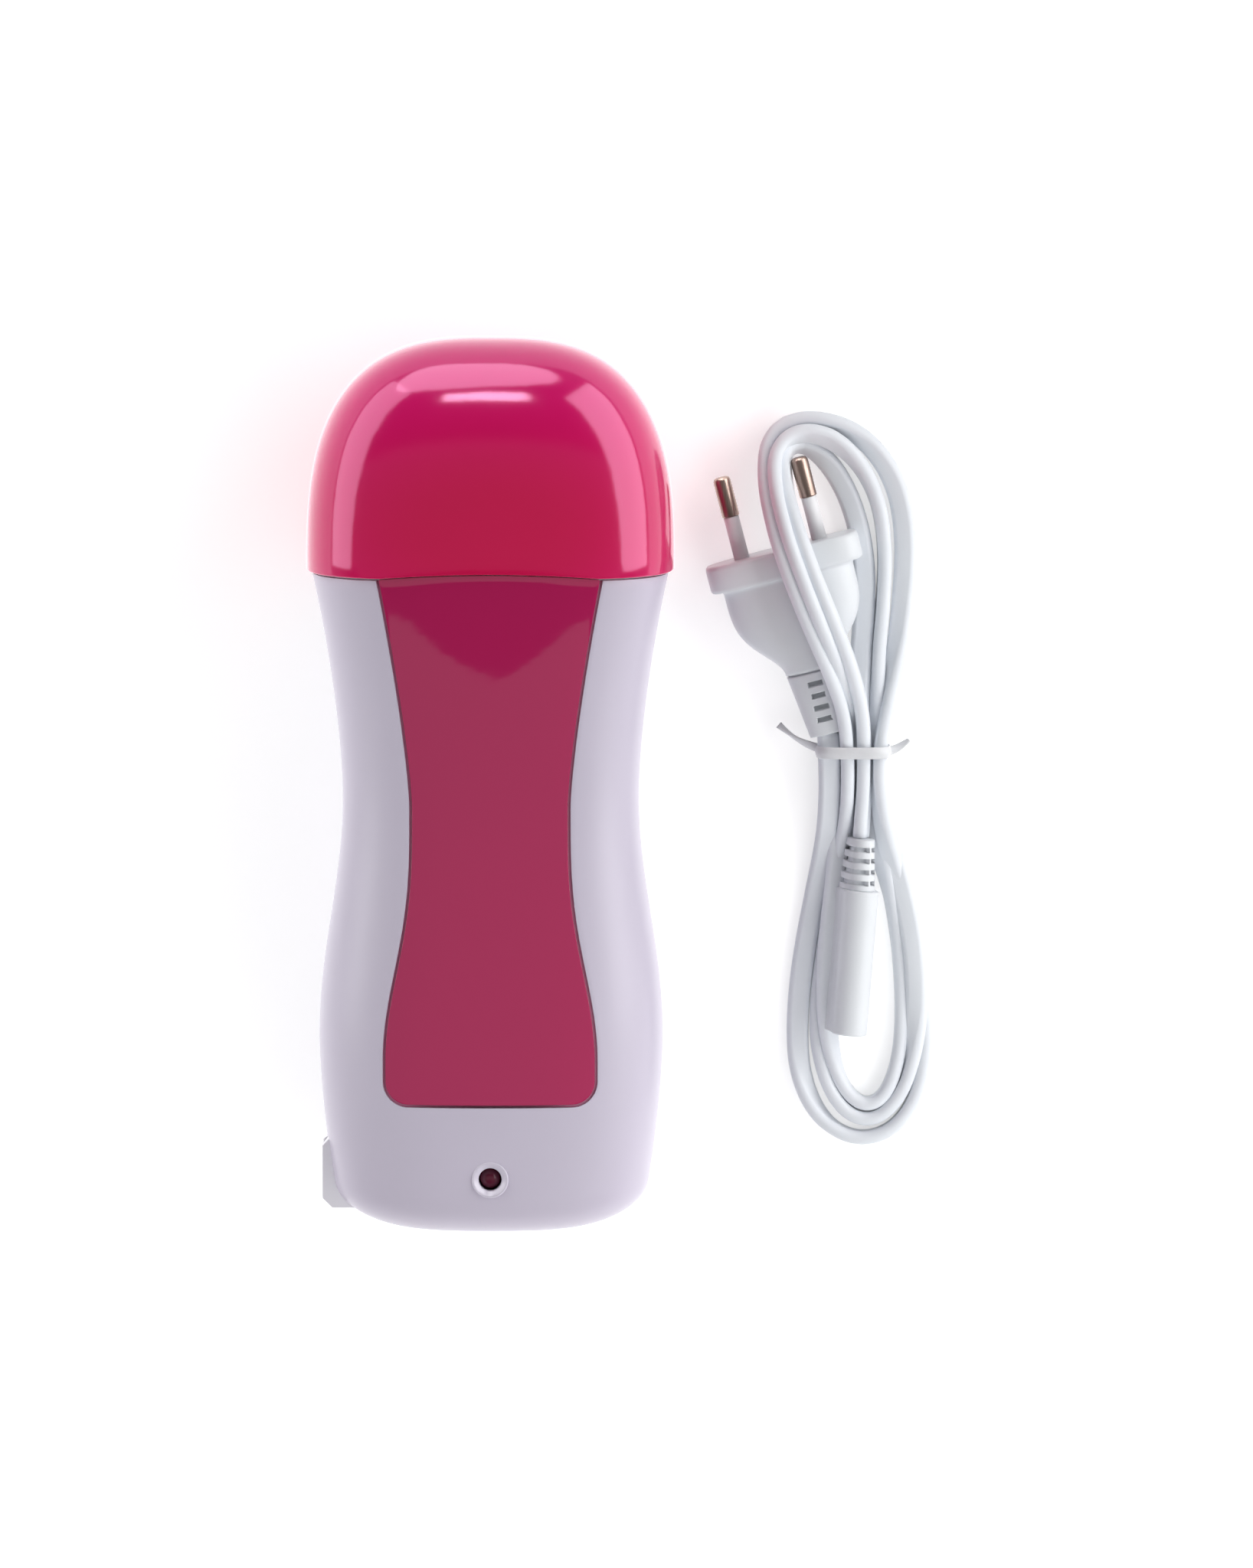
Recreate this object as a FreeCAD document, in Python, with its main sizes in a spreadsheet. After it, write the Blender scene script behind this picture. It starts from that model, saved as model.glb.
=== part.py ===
import FreeCAD, Part
import os
from math import cos, pi, radians, sin, sqrt, tan
from types import SimpleNamespace

import Sketcher

# A hand-held heater for roll-on wax cartridges, with its detachable mains lead.
#
# The heater lies on its back: +Z comes out of its front face, +Y runs from its foot to the
# crown of its cap, and the origin is the middle of the surface under it. Millimetres.

Vec = FreeCAD.Vector
ACROSS, ALONG, UP = Vec(1, 0, 0), Vec(0, 1, 0), Vec(0, 0, 1)

DIMENSIONS = [
    # outline of the body, seen from the front, measured from the foot
    ("body_length", 148, "foot to the brim of the cap"),
    ("cap_length", 52, "brim to the crown"),
    ("hip_rise", 43, "foot to the widest place"),
    ("waist_rise", 97, "foot to the narrowest place"),
    ("heel_rise", 10, "height of the rounded heel"),
    ("heel_reach", 18, "how far the heel rounds in at the sides"),
    ("heel_width", 70.8, "width where the heel starts"),
    ("hip_width", 77.2, "widest place"),
    ("waist_width", 66.4, "narrowest place"),
    ("shoulder_width", 80, "at the brim"),
    # the same body seen from the side, measured up from the surface it lies on
    ("parting_height", 25, "plane where the two halves meet"),
    ("heel_height", 49.6, "front face where the heel starts"),
    ("hip_height", 51, "front face at the hip"),
    ("waist_height", 46.5, "front face at the waist"),
    ("shoulder_height", 50.5, "front face at the brim"),
    ("heel_front_reach", 12, "how far the heel rounds in at the front"),
    ("heel_back_reach", 8, "how far the heel rounds in at the back"),
    ("back_crown", 0.4, "bulge of the back that the flat land trims away"),
    ("shoulder_lift", 1.6, "how far the back rises towards the brim"),
    ("shell_wall", 2.2, "wall of the two halves"),
    # cap and the collar that it slides over
    ("cap_overhang", 1.2, "how far the cap stands proud of the shoulder"),
    ("cap_wall", 1.8, "wall of the cap"),
    ("cap_clearance", 0.3, "gap between cap and neck"),
    ("brim_gap", 0.5, "gap between brim and shoulder"),
    ("brim_arch", 1.2, "how far the brim rises over the window"),
    ("neck_length", 12, "neck above the shoulder"),
    ("skirt_length", 7.5, "collar below the shoulder"),
    ("collar_wall", 1.7, "wall of the collar"),
    ("slip", 0.05, "gap between pieces that push together"),
    # window
    ("window_top_width", 49.2, "at the brim"),
    ("window_waist_width", 34.6, "at the waist"),
    ("window_low_width", 46.6, "widest place of the lower end"),
    ("window_low_rise", 40, "foot to that place"),
    ("window_bottom_rise", 30.4, "foot to the bottom edge"),
    ("window_corner", 5, "radius of the lower corners"),
    ("window_gap", 0.7, "gap round the window"),
    ("window_lip", 2.4, "how far the inner lip reaches past the window"),
    ("window_lip_wall", 1, "thickness of the lip"),
    # well for the cartridge, and the aluminium trough round it
    ("well_width", 53.2, "inside"),
    ("well_depth", 32.8, "inside, front to back"),
    ("well_back", 10.2, "height of the well's back face"),
    ("well_corner", 9, "inside radius"),
    ("well_floor_rise", 52, "foot to the well's floor"),
    ("trough_wall", 1, "aluminium sheet"),
    ("trough_side", 23, "height of the trough's sides"),
    ("bulkhead_wall", 2, "floor of the well"),
    ("wire_gap", 34, "width of the way for the wires, behind the trough"),
    ("rib_wall", 2, "ribs under the trough"),
    ("low_rib_rise", 58, "foot to the lower rib"),
    ("high_rib_rise", 132, "foot to the upper rib"),
    # heating element, built up on the back of the trough
    ("element_rise", 92, "foot to the middle of the element"),
    ("stone_length", 18, "one heating stone, along the body"),
    ("stone_width", 20, "one heating stone, across"),
    ("stone_wall", 2.2, "heating stone"),
    ("stone_gap", 1, "between the two stones"),
    ("electrode_margin", 1, "electrode past the stones"),
    ("electrode_wall", 0.4, "electrode sheet"),
    ("tab_width", 4.8, "flat terminals"),
    ("tab_length", 9, "electrode terminals"),
    ("tab_offset", 8, "terminals off the centre line"),
    ("mica_margin", 2, "mica past the electrodes"),
    ("mica_wall", 0.3, "mica sheet"),
    ("clamp_width", 10, "spring clamp"),
    ("clamp_wall", 0.6, "spring clamp"),
    ("clamp_foot", 8, "foot of the clamp"),
    ("clamp_slack", 3, "between element and clamp leg"),
    ("rivet_radius", 1.5, "rivet shank"),
    ("rivet_head_radius", 2.6, "rivet head"),
    ("rivet_head", 0.9, "rivet head height"),
    ("fuse_rise", 128, "foot to the thermal fuse"),
    ("fuse_radius", 2, "thermal fuse"),
    ("fuse_length", 11, "thermal fuse"),
    ("fuse_lead", 5, "bare lead at each end of the fuse"),
    ("wire_radius", 0.8, "insulated wire inside"),
    # indicator lamp and its board
    ("lamp_rise", 13.5, "foot to the lamp"),
    ("lamp_radius", 2.5, "lamp body"),
    ("lamp_height", 8.6, "lamp, flange to dome"),
    ("lamp_flange", 2.9, "lamp flange radius"),
    ("lamp_recess", 1.1, "dome below the bezel's face"),
    ("bezel_radius", 4.1, "visible ring"),
    ("bezel_rim", 0.35, "ring proud of the shell"),
    ("bezel_sink", 0.8, "ring let into the shell"),
    ("bezel_neck", 3.4, "radius of the part in the hole"),
    ("bezel_length", 4.5, "how far it reaches in"),
    ("board_length", 26, "across the body"),
    ("board_width", 11, "along the body"),
    ("board_wall", 1.6, "circuit board"),
    ("post_spacing", 20, "between the two board posts"),
    ("post_radius", 2.2, "board post"),
    ("pin_radius", 0.9, "heat-staked tip of a post"),
    ("resistor_length", 6.5, "resistor body"),
    ("resistor_radius", 1.2, "resistor body, and the diode's"),
    ("diode_length", 5.2, "diode body"),
    ("lead_radius", 0.3, "bare lead of a small component"),
    ("component_drop", 1.5, "between the board and a component under it"),
    # mains inlet for a two-pole appliance connector
    ("inlet_rise", 12.4, "foot to the inlet's centre line"),
    ("inlet_face", 37.9, "centre plane to the inlet's face"),
    ("inlet_length", 16.4, "block, along the body"),
    ("inlet_depth", 12.4, "block, front to back"),
    ("inlet_reach", 17, "face to the inner end of the block"),
    ("inlet_floor", 3.2, "wall behind the socket"),
    ("inlet_bevel", 2.2, "bevel on the block's outer edges"),
    ("inlet_flange", 2, "how far its flange reaches"),
    ("inlet_flange_wall", 1.6, "flange thickness"),
    ("socket_radius", 4.35, "one lobe of the socket"),
    ("lobe_spacing", 5.6, "between the two lobes"),
    ("contact_spacing", 8.6, "between the two pins"),
    ("inlet_pin_radius", 1.2, "pin"),
    ("inlet_pin_length", 9, "pin inside the socket"),
    ("inlet_pin_root", 1.5, "radius of the pin in the moulding"),
    ("terminal_length", 7, "terminal behind the block"),
    # screws from the back
    ("screw_radius", 1.5, "self-tapping screw"),
    ("screw_length", 22, "under the head"),
    ("screw_head_radius", 2.8, "pan head"),
    ("screw_head", 2, "pan head height"),
    ("screw_slack", 0.25, "clearance round the screw"),
    ("screw_seat", 12, "height of the seat under the head"),
    ("boss_radius", 3.1, "screw boss"),
    ("tower_wall", 1.4, "wall round a screw head"),
    ("high_screw_rise", 133.5, "foot to the upper screws"),
    ("high_screw_spacing", 62.4, "between the upper screws"),
    ("low_screw_offset", 27, "lower screws off the centre plane"),
    ("left_screw_rise", 32, "foot to the left lower screw"),
    ("right_screw_rise", 18, "foot to the right lower screw"),
    # mains lead
    ("cord_width", 5, "flat two-core cord"),
    ("cord_wall", 3.2, "flat two-core cord"),
    ("plug_flange_width", 35.3, "flange of the two-pin plug"),
    ("plug_flange_depth", 13.7, "flange, and the plug's thickness"),
    ("plug_flange_wall", 6.3, "flange, along the plug"),
    ("plug_body_length", 22, "tapered grip"),
    ("plug_relief_length", 15, "strain relief of the plug"),
    ("plug_pin_spacing", 18, "between the pins"),
    ("plug_pin_radius", 2, "pin"),
    ("plug_pin_length", 19, "pin"),
    ("plug_sleeve_length", 9.8, "insulated part of a pin"),
    ("plug_sleeve_wall", 0.4, "insulation of a pin"),
    ("plug_sleeve_step", 0.25, "insulation below the bare pin's surface"),
    ("plug_pin_root", 6, "pin inside the plug"),
    ("connector_width", 13.7, "two-pole connector"),
    ("connector_depth", 8.1, "two-pole connector"),
    ("connector_length", 33, "connector body"),
    ("relief_length", 11.5, "strain relief of the connector"),
    ("relief_slot", 1.1, "width of a slot"),
    ("contact_bore", 1.25, "inside radius of a contact sleeve"),
    ("contact_wall", 0.3, "contact sleeve"),
    ("contact_length", 11, "contact sleeve"),
    ("contact_recess", 1, "contact behind the connector's face"),
    ("hank_radius", 3.6, "bundle of turns"),
    ("hank_waist_width", 15.6, "bundle in the tie"),
    ("hank_waist_height", 10.4, "bundle in the tie"),
    ("tie_width", 2, "twist tie"),
    ("tie_wall", 0.8, "twist tie"),
]

DOME_POWER = 2.8      # superellipse of the cap's outline
FLARE_POWER = 1.65    # how the body flares from the waist to the brim and from the hip to the heel
WINDOW_FLARE = 1.35   # the same for the window above the waist
WINDOW_SWELL = 1.8    # how late the window widens below the waist
FRONT_SQUARE = 0.74   # Bezier handles of the cross-section: 0.55 is an ellipse, 1 a sharp corner
BACK_SQUARE = 0.78


class Length:
    """A number of millimetres together with the sheet formula that gives it."""

    def __init__(self, value, formula):
        self.value = value
        self.formula = formula

    def joined(self, sign, other, value):
        return Length(value, "(%s %s %s)" % (self.formula, sign, length(other).formula))

    def __float__(self):
        return float(self.value)

    def __neg__(self):
        return Length(-self.value, "(0 - %s)" % self.formula)

    def __add__(self, other):
        return self.joined("+", other, self.value + float(other))

    def __sub__(self, other):
        return self.joined("-", other, self.value - float(other))

    def __mul__(self, other):
        return self.joined("*", other, self.value * float(other))

    def __truediv__(self, other):
        return self.joined("/", other, self.value / float(other))


def length(value):
    """The value as a Length, with its own number as the formula if it has none."""
    return value if isinstance(value, Length) else Length(float(value), repr(float(value)))


# ---------------------------------------------------------------- document and sheet

doc = FreeCAD.newDocument("wax_heater")
sheet = doc.addObject("Spreadsheet::Sheet", "Sizes")
for row, (alias, number, note) in enumerate(DIMENSIONS, start=1):
    sheet.set("A%d" % row, alias)
    sheet.set("B%d" % row, str(number))
    sheet.set("C%d" % row, note)
    sheet.setAlias("B%d" % row, alias)
doc.recompute()

# S holds each size as a formula to bind with, N the same sizes as plain numbers
N = SimpleNamespace(**{alias: float(getattr(sheet, alias)) for alias, _, _ in DIMENSIONS})
S = SimpleNamespace(**{alias: Length(getattr(N, alias), "Sizes." + alias) for alias, _, _ in DIMENSIONS})

nodes = []


def node(piece, name):
    """Marks a document object as a finished sub-part, which is written to a file of that name."""
    piece.Label = name
    nodes.append(piece)
    return piece


# ---------------------------------------------------------------- bound primitives

def bind(piece, path, value):
    """Ties one property of an object to the sheet."""
    piece.setExpression(path, length(value).formula)


def place(piece, point):
    for letter, value in zip("xyz", point):
        bind(piece, "Placement.Base." + letter, value)


def box(name, low, high):
    """A box between two corners."""
    piece = doc.addObject("Part::Box", name)
    for side, start, end in zip(("Length", "Width", "Height"), low, high):
        bind(piece, side, length(end) - start)
    place(piece, low)
    return piece


def rod(name, start, radius, reach, axis=UP):
    """A round bar from a point, along an axis."""
    piece = doc.addObject("Part::Cylinder", name)
    piece.Placement.Rotation = FreeCAD.Rotation(UP, axis)
    bind(piece, "Radius", radius)
    bind(piece, "Height", reach)
    place(piece, start)
    return piece


def cut(name, base, tool):
    piece = doc.addObject("Part::Cut", name)
    piece.Base = base
    piece.Tool = tool
    return piece


def fuse(name, parts):
    piece = doc.addObject("Part::MultiFuse", name)
    piece.Shapes = parts
    return piece


def group(name, parts):
    """Several separate solids that share one node."""
    piece = doc.addObject("Part::Compound", name)
    piece.Links = parts
    return piece


def rounded(name, base, radius, direction):
    """The base with its edges along one direction rounded."""
    doc.recompute()
    piece = doc.addObject("Part::Fillet", name)
    piece.Base = base
    along = [number for number, edge in enumerate(base.Shape.Edges, start=1)
             if edge.tangentAt(edge.FirstParameter).cross(direction).Length < 1e-6]
    piece.Edges = [(number, float(radius), float(radius)) for number in along]
    return piece


def feature(name, shape):
    """A free-form piece, whose shape is worked out from the sheet's numbers."""
    piece = doc.addObject("Part::Feature", name)
    piece.Shape = shape
    return piece


def sketch_on(body, role, corners):
    """A closed outline of straight lines, each corner tied to the sheet. Corners are not negative."""
    sketch = body.newObject("Sketcher::SketchObject", body.Name + "_outline")
    plane = [item for item in body.Origin.OriginFeatures if item.Role == role][0]
    sketch.AttachmentSupport = [(plane, "")]
    sketch.MapMode = "FlatFace"
    corners = [(length(x), length(y)) for x, y in corners]
    points = [Vec(float(x), float(y), 0) for x, y in corners]
    for number, point in enumerate(points):
        sketch.addGeometry(Part.LineSegment(point, points[(number + 1) % len(points)]), False)
    for number in range(len(points)):
        sketch.addConstraint(Sketcher.Constraint("Coincident", number, 2, (number + 1) % len(points), 1))
    for number, corner in enumerate(corners):
        for kind, axis, value in zip(("DistanceX", "DistanceY"), (-2, -1), corner):
            if float(value) == 0:
                sketch.addConstraint(Sketcher.Constraint("PointOnObject", number, 1, axis))
            else:
                place_of = sketch.addConstraint(Sketcher.Constraint(kind, -1, 1, number, 1, float(value)))
                sketch.setExpression("Constraints[%d]" % place_of, value.formula)
    return sketch


def turned(name, corners, axis=UP):
    """A body turned round its own axis from a half outline of (radius, height) corners."""
    body = doc.addObject("PartDesign::Body", name)
    sketch = sketch_on(body, "XZ_Plane", corners)
    turn = body.newObject("PartDesign::Revolution", name + "_turn")
    turn.Profile = sketch
    turn.ReferenceAxis = (sketch, ["V_Axis"])
    turn.Angle = 360
    body.Placement.Rotation = FreeCAD.Rotation(UP, axis)
    return body


# ---------------------------------------------------------------- planes of the heater

FOOT = -(S.body_length + S.cap_length) / 2
BRIM = FOOT + S.body_length
SHOULDER = BRIM - S.brim_gap
NECK_TOP = SHOULDER + S.neck_length
WELL_FLOOR = FOOT + S.well_floor_rise
WELL_FRONT = S.well_back + S.well_depth
TROUGH_BACK = S.well_back - S.trough_wall
LAMP_PLACE = FOOT + S.lamp_rise
INLET_PLACE = FOOT + S.inlet_rise
FAR = 400             # reaches past everything, for trimming blocks


def half_space(low, high):
    """A trimming block: None leaves that side open."""
    low = [-FAR if value is None else float(value) for value in low]
    high = [FAR if value is None else float(value) for value in high]
    return Part.makeBox(*[b - a for a, b in zip(low, high)], Vec(*low))


def plain_rod(point, radius, reach, axis=UP):
    """A round bar as a plain shape, to cut or add in a free-form piece."""
    return Part.makeCylinder(float(radius), float(reach), Vec(*[float(value) for value in point]), axis)


# ---------------------------------------------------------------- free-form body and cap

def swell(y, heel, hip, waist, shoulder):
    """A size of the body at height y: a power curve from the waist up to the brim and from the hip
    down to the heel, and half a cosine wave between hip and waist."""
    foot, brim = float(FOOT), float(BRIM)
    hip_y, waist_y, heel_y = foot + N.hip_rise, foot + N.waist_rise, foot + N.heel_rise
    if y >= waist_y:
        return waist + (shoulder - waist) * ((y - waist_y) / (brim - waist_y)) ** FLARE_POWER
    if y >= hip_y:
        return (hip + waist) / 2 + (hip - waist) / 2 * cos(pi * (y - hip_y) / (waist_y - hip_y))
    return hip - (hip - heel) * ((hip_y - y) / (hip_y - heel_y)) ** FLARE_POWER


def heel_drop(y, reach, rise, inset):
    """How far a quarter ellipse pulls a side in at y: nothing above the heel, its whole reach at the foot."""
    deep = (float(FOOT) + rise - y) / (rise - inset)
    if deep <= 0:
        return 0.0
    return (reach - inset) * (1 - sqrt(max(0.0, 1 - deep * deep)))


def oval(y, half, back, front, middle):
    """Closed cross-section at y: four Bezier quarters through its sides, front and back."""
    def quarter(start, corner, end, square):
        handles = [[a + (c - a) * square for a, c in zip(point, corner)] for point in (start, end)]
        curve = Part.BezierCurve()
        curve.setPoles([Vec(x, y, z) for x, z in (start, handles[0], handles[1], end)])
        return curve.toShape()

    right, left, top, bottom = (half, middle), (-half, middle), (0, front), (0, back)
    return Part.Wire([
        quarter(right, (half, front), top, FRONT_SQUARE),
        quarter(top, (-half, front), left, FRONT_SQUARE),
        quarter(left, (-half, back), bottom, BACK_SQUARE),
        quarter(bottom, (half, back), right, BACK_SQUARE)])


def body_section(y, inset):
    """Cross-section of the body, a wall's thickness further in for each millimetre of inset."""
    half = swell(y, N.heel_width, N.hip_width, N.waist_width, N.shoulder_width) / 2 - inset
    front = swell(y, N.heel_height, N.hip_height, N.waist_height, N.shoulder_height) - inset
    back = inset - N.back_crown
    waist_y = float(FOOT) + N.waist_rise
    if y > waist_y:
        back += (N.shoulder_lift + N.back_crown) * ((y - waist_y) / (float(BRIM) - waist_y)) ** 2
    return oval(
        y,
        half - heel_drop(y, N.heel_reach, N.heel_rise, inset),
        back + heel_drop(y, N.heel_back_reach, N.heel_rise, inset),
        front - heel_drop(y, N.heel_front_reach, N.heel_rise, inset),
        N.parting_height)


def body_block(inset, top=None):
    """The body as one solid block, from the foot to the shoulder, with a flat land along its back."""
    top = float(SHOULDER) if top is None else top
    heel_y = float(FOOT) + N.heel_rise
    heel = [heel_y - (N.heel_rise - inset) * sin(radians(angle)) for angle in (90, 70, 50, 32, 15)]
    steps = 12
    rest = [heel_y + (top - heel_y) * step / steps for step in range(steps + 1)]
    block = Part.makeLoft([body_section(y, inset) for y in heel + rest], True, False)
    return block.common(half_space((None, None, inset), (None, None, None)))


def cap_section(y, inset):
    """Cross-section of the cap: the brim's oval, scaled by a superellipse towards the crown."""
    up = max(0.0, (y - float(BRIM)) / (N.cap_length - inset))
    scale = (1 - up ** DOME_POWER) ** (1 / DOME_POWER)
    half = N.shoulder_width / 2 + N.cap_overhang - inset
    front = N.shoulder_height + N.cap_overhang - inset - N.parting_height
    back = N.parting_height - (N.shoulder_lift - N.cap_overhang + inset)
    middle = N.parting_height
    return oval(y, half * scale, middle - back * scale, middle + front * scale, middle)


def cap_block(inset):
    """The cap as one solid dome over the brim plane."""
    reach = N.cap_length - inset
    ups = (0, 0.15, 0.3, 0.45, 0.6, 0.72, 0.82, 0.9, 0.95, 0.98, 0.995)
    rings = [cap_section(float(BRIM) + reach * up, inset) for up in ups]
    apex = Part.Vertex(0, float(BRIM) + reach, N.parting_height)
    return Part.makeLoft(rings + [apex], True, False)


def neck_block(inset, low, high):
    """The straight start of the cap's inside, between two heights."""
    heights = [float(low), (float(low) + float(high)) / 2, float(high)]
    return Part.makeLoft([cap_section(y, inset) for y in heights], True, False)


def window_half(y):
    """Half the window's width at y, narrowest at the waist."""
    waist_y, low_y = float(FOOT) + N.waist_rise, float(FOOT) + N.window_low_rise
    waist = N.window_waist_width / 2
    if y >= waist_y:
        return waist + (N.window_top_width / 2 - waist) * (
            (y - waist_y) / (float(BRIM) - waist_y)) ** WINDOW_FLARE
    along = min(1.0, (waist_y - y) / (waist_y - low_y))
    return waist + (N.window_low_width / 2 - waist) * ((1 - cos(pi * along)) / 2) ** WINDOW_SWELL


def window_block(grow, top):
    """The window's outline as a tall block, grown on all sides but the top."""
    bottom = float(FOOT) + N.window_bottom_rise - grow
    radius = N.window_corner + grow
    start = bottom + radius
    steps = 9
    heights = [start + (float(top) - start) * step / steps for step in range(steps + 1)]
    curve = Part.BSplineCurve()
    curve.interpolate([Vec(window_half(y) + grow, y, 0) for y in heights])
    right = curve.toShape()
    left = right.mirror(Vec(0, 0, 0), ACROSS)
    side = window_half(start) + grow

    def corner(sign):
        centre = Vec(sign * (side - radius), start, 0)
        points = [centre + Vec(sign * radius * cos(a), -radius * sin(a), 0) for a in (0, pi / 4, pi / 2)]
        return Part.Arc(*points).toShape()

    floor = Part.LineSegment(Vec(side - radius, bottom, 0), Vec(radius - side, bottom, 0)).toShape()
    reach = window_half(float(top)) + grow
    lid = Part.LineSegment(Vec(reach, float(top), 0), Vec(-reach, float(top), 0)).toShape()
    edges = [right, corner(1), floor, corner(-1), left, lid]
    wire = Part.Wire(Part.__sortEdges__(edges))
    block = Part.Face(wire).extrude(Vec(0, 0, FAR))
    block.translate(Vec(0, 0, N.parting_height))
    return block


def well_block(grow, low, high):
    """The cartridge well as a block with rounded corners, grown by a wall."""
    half = N.well_width / 2 + grow
    block = Part.makeBox(2 * half, float(high) - float(low), N.well_depth + 2 * grow,
                         Vec(-half, float(low), N.well_back - grow))
    along = [edge for edge in block.Edges if edge.tangentAt(0).cross(ALONG).Length < 1e-6]
    return block.makeFillet(N.well_corner + grow, along)


OUTER = body_block(0)
INNER = body_block(N.shell_wall)
SCREW_POINTS = [
    (-S.high_screw_spacing / 2, FOOT + S.high_screw_rise),
    (S.high_screw_spacing / 2, FOOT + S.high_screw_rise),
    (-S.low_screw_offset, FOOT + S.left_screw_rise),
    (S.low_screw_offset, FOOT + S.right_screw_rise)]


def inlet_slot():
    """The hole in the side of both halves that the inlet block pushes into."""
    half_length, half_depth = N.inlet_length / 2 + N.slip, N.inlet_depth / 2 + N.slip
    middle = float(INLET_PLACE)
    return half_space(
        (None, middle - half_length, N.parting_height - half_depth),
        (-N.inlet_face + N.inlet_reach, middle + half_length, N.parting_height + half_depth))


def face_height():
    """Height of the front face where the lamp is."""
    return swell(float(LAMP_PLACE), N.heel_height, N.hip_height, N.waist_height, N.shoulder_height)


LAMP_FACE = length(face_height())
BOARD_TOP = LAMP_FACE - S.lamp_recess - S.lamp_height
COLLAR_INSET = N.shell_wall + N.slip


def front_shell():
    """Front half: a shell with the window opening, screw bosses and two posts for the lamp's board."""
    shell = OUTER.cut(INNER).common(half_space((None, None, S.parting_height), (None, None, None)))
    lip = window_lip(N.slip)
    for x, y in SCREW_POINTS:
        boss = plain_rod((x, y, S.parting_height), S.boss_radius, FAR / 4).common(INNER).cut(lip)
        hole = plain_rod((x, y, 0), S.screw_radius + S.slip, S.screw_seat + S.screw_length + 1)
        shell = shell.fuse(boss).cut(hole)
    for side in (-1, 1):
        x = S.post_spacing / 2 * side
        post = plain_rod((x, LAMP_PLACE, BOARD_TOP), S.post_radius, FAR / 4).common(INNER)
        pin = plain_rod((x, LAMP_PLACE, BOARD_TOP - S.board_wall), S.pin_radius, S.board_wall)
        shell = shell.fuse(post).fuse(pin)
    hole = plain_rod((0, LAMP_PLACE, N.parting_height), S.bezel_neck + S.slip, FAR / 4)
    seat = plain_rod((0, LAMP_PLACE, LAMP_FACE - S.bezel_sink), S.bezel_radius + S.slip, FAR / 4)
    window = window_block(N.window_gap, float(BRIM))
    return shell.cut(window).cut(hole).cut(seat).cut(inlet_slot()).removeSplitter()


def back_shell():
    """Back half: a shell with screw towers and two ribs that carry the trough."""
    below = half_space((None, None, None), (None, None, S.parting_height))
    shell = OUTER.cut(INNER).common(below)
    trough = well_block(N.trough_wall + N.slip, -FAR / 2, FAR / 2)
    gap = half_space((-S.wire_gap / 2, None, None), (S.wire_gap / 2, None, None))
    for rise in (S.low_rib_rise, S.high_rib_rise):
        low, high = FOOT + rise - S.rib_wall / 2, FOOT + rise + S.rib_wall / 2
        rib = INNER.common(half_space((None, low, None), (None, high, S.parting_height)))
        shell = shell.fuse(rib.cut(trough).cut(gap))
    for x, y in SCREW_POINTS:
        tower = plain_rod((x, y, 0), S.screw_head_radius + S.tower_wall, S.parting_height)
        head_hole = plain_rod((x, y, 0), S.screw_head_radius + S.screw_slack, S.screw_seat)
        shank_hole = plain_rod((x, y, 0), S.screw_radius + S.screw_slack, S.parting_height)
        shell = shell.fuse(tower.common(OUTER).cut(trough)).cut(head_hole).cut(shank_hole)
    return shell.cut(inlet_slot()).removeSplitter()


def window_lip(extra):
    """The lip that holds the window behind the shell, or the room for it."""
    outer = body_block(N.shell_wall + N.slip - extra)
    inner = body_block(N.shell_wall + N.window_lip_wall + extra)
    return outer.cut(inner).common(window_block(N.window_lip + extra, float(SHOULDER) - N.slip + extra))


def window_panel():
    """Clear window, flush with the front, on a lip that snaps behind the shell."""
    plate = OUTER.cut(body_block(N.shell_wall + N.window_lip_wall))
    return plate.common(window_block(0, float(SHOULDER) - N.slip)).fuse(window_lip(0)).removeSplitter()


def neck_collar():
    """A ring that closes the two halves: a skirt inside them, a neck above and a plate with the mouth."""
    seat = SHOULDER + S.slip
    plate = NECK_TOP - S.collar_wall
    outside = N.cap_wall + N.cap_clearance
    above = half_space((None, SHOULDER - S.skirt_length, None), (None, None, None))
    skirt = body_block(COLLAR_INSET, float(seat) + N.collar_wall / 2).common(above)
    hollow = body_block(COLLAR_INSET + N.collar_wall, float(seat) + N.collar_wall)
    neck = neck_block(outside, seat, NECK_TOP)
    chamber = neck_block(outside + N.collar_wall, seat + S.collar_wall, plate)
    mouth = well_block(0, float(plate) - 1, float(NECK_TOP) + 1)
    room = window_block(N.window_lip + N.slip, float(SHOULDER))
    return neck.fuse(skirt.cut(room)).cut(hollow).cut(chamber).cut(mouth).removeSplitter()


def cap():
    """Domed cap, with a brim that arches over the window."""
    shell = cap_block(0).cut(cap_block(N.cap_wall))
    half = N.window_top_width / 2
    radius = (half ** 2 + N.brim_arch ** 2) / (2 * N.brim_arch)
    arch = plain_rod((0, BRIM + N.brim_arch - radius, N.parting_height), radius, FAR)
    return shell.cut(arch)


def bulkhead():
    """Floor of the well, with a gap at its back for the wires."""
    slab = half_space((None, WELL_FLOOR - S.bulkhead_wall, None), (None, WELL_FLOOR, None))
    gap = half_space((-S.wire_gap / 2, None, None), (S.wire_gap / 2, None, TROUGH_BACK))
    return body_block(COLLAR_INSET).common(slab).cut(window_lip(N.slip)).cut(gap)


# ---------------------------------------------------------------- trough and heating element

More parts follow.
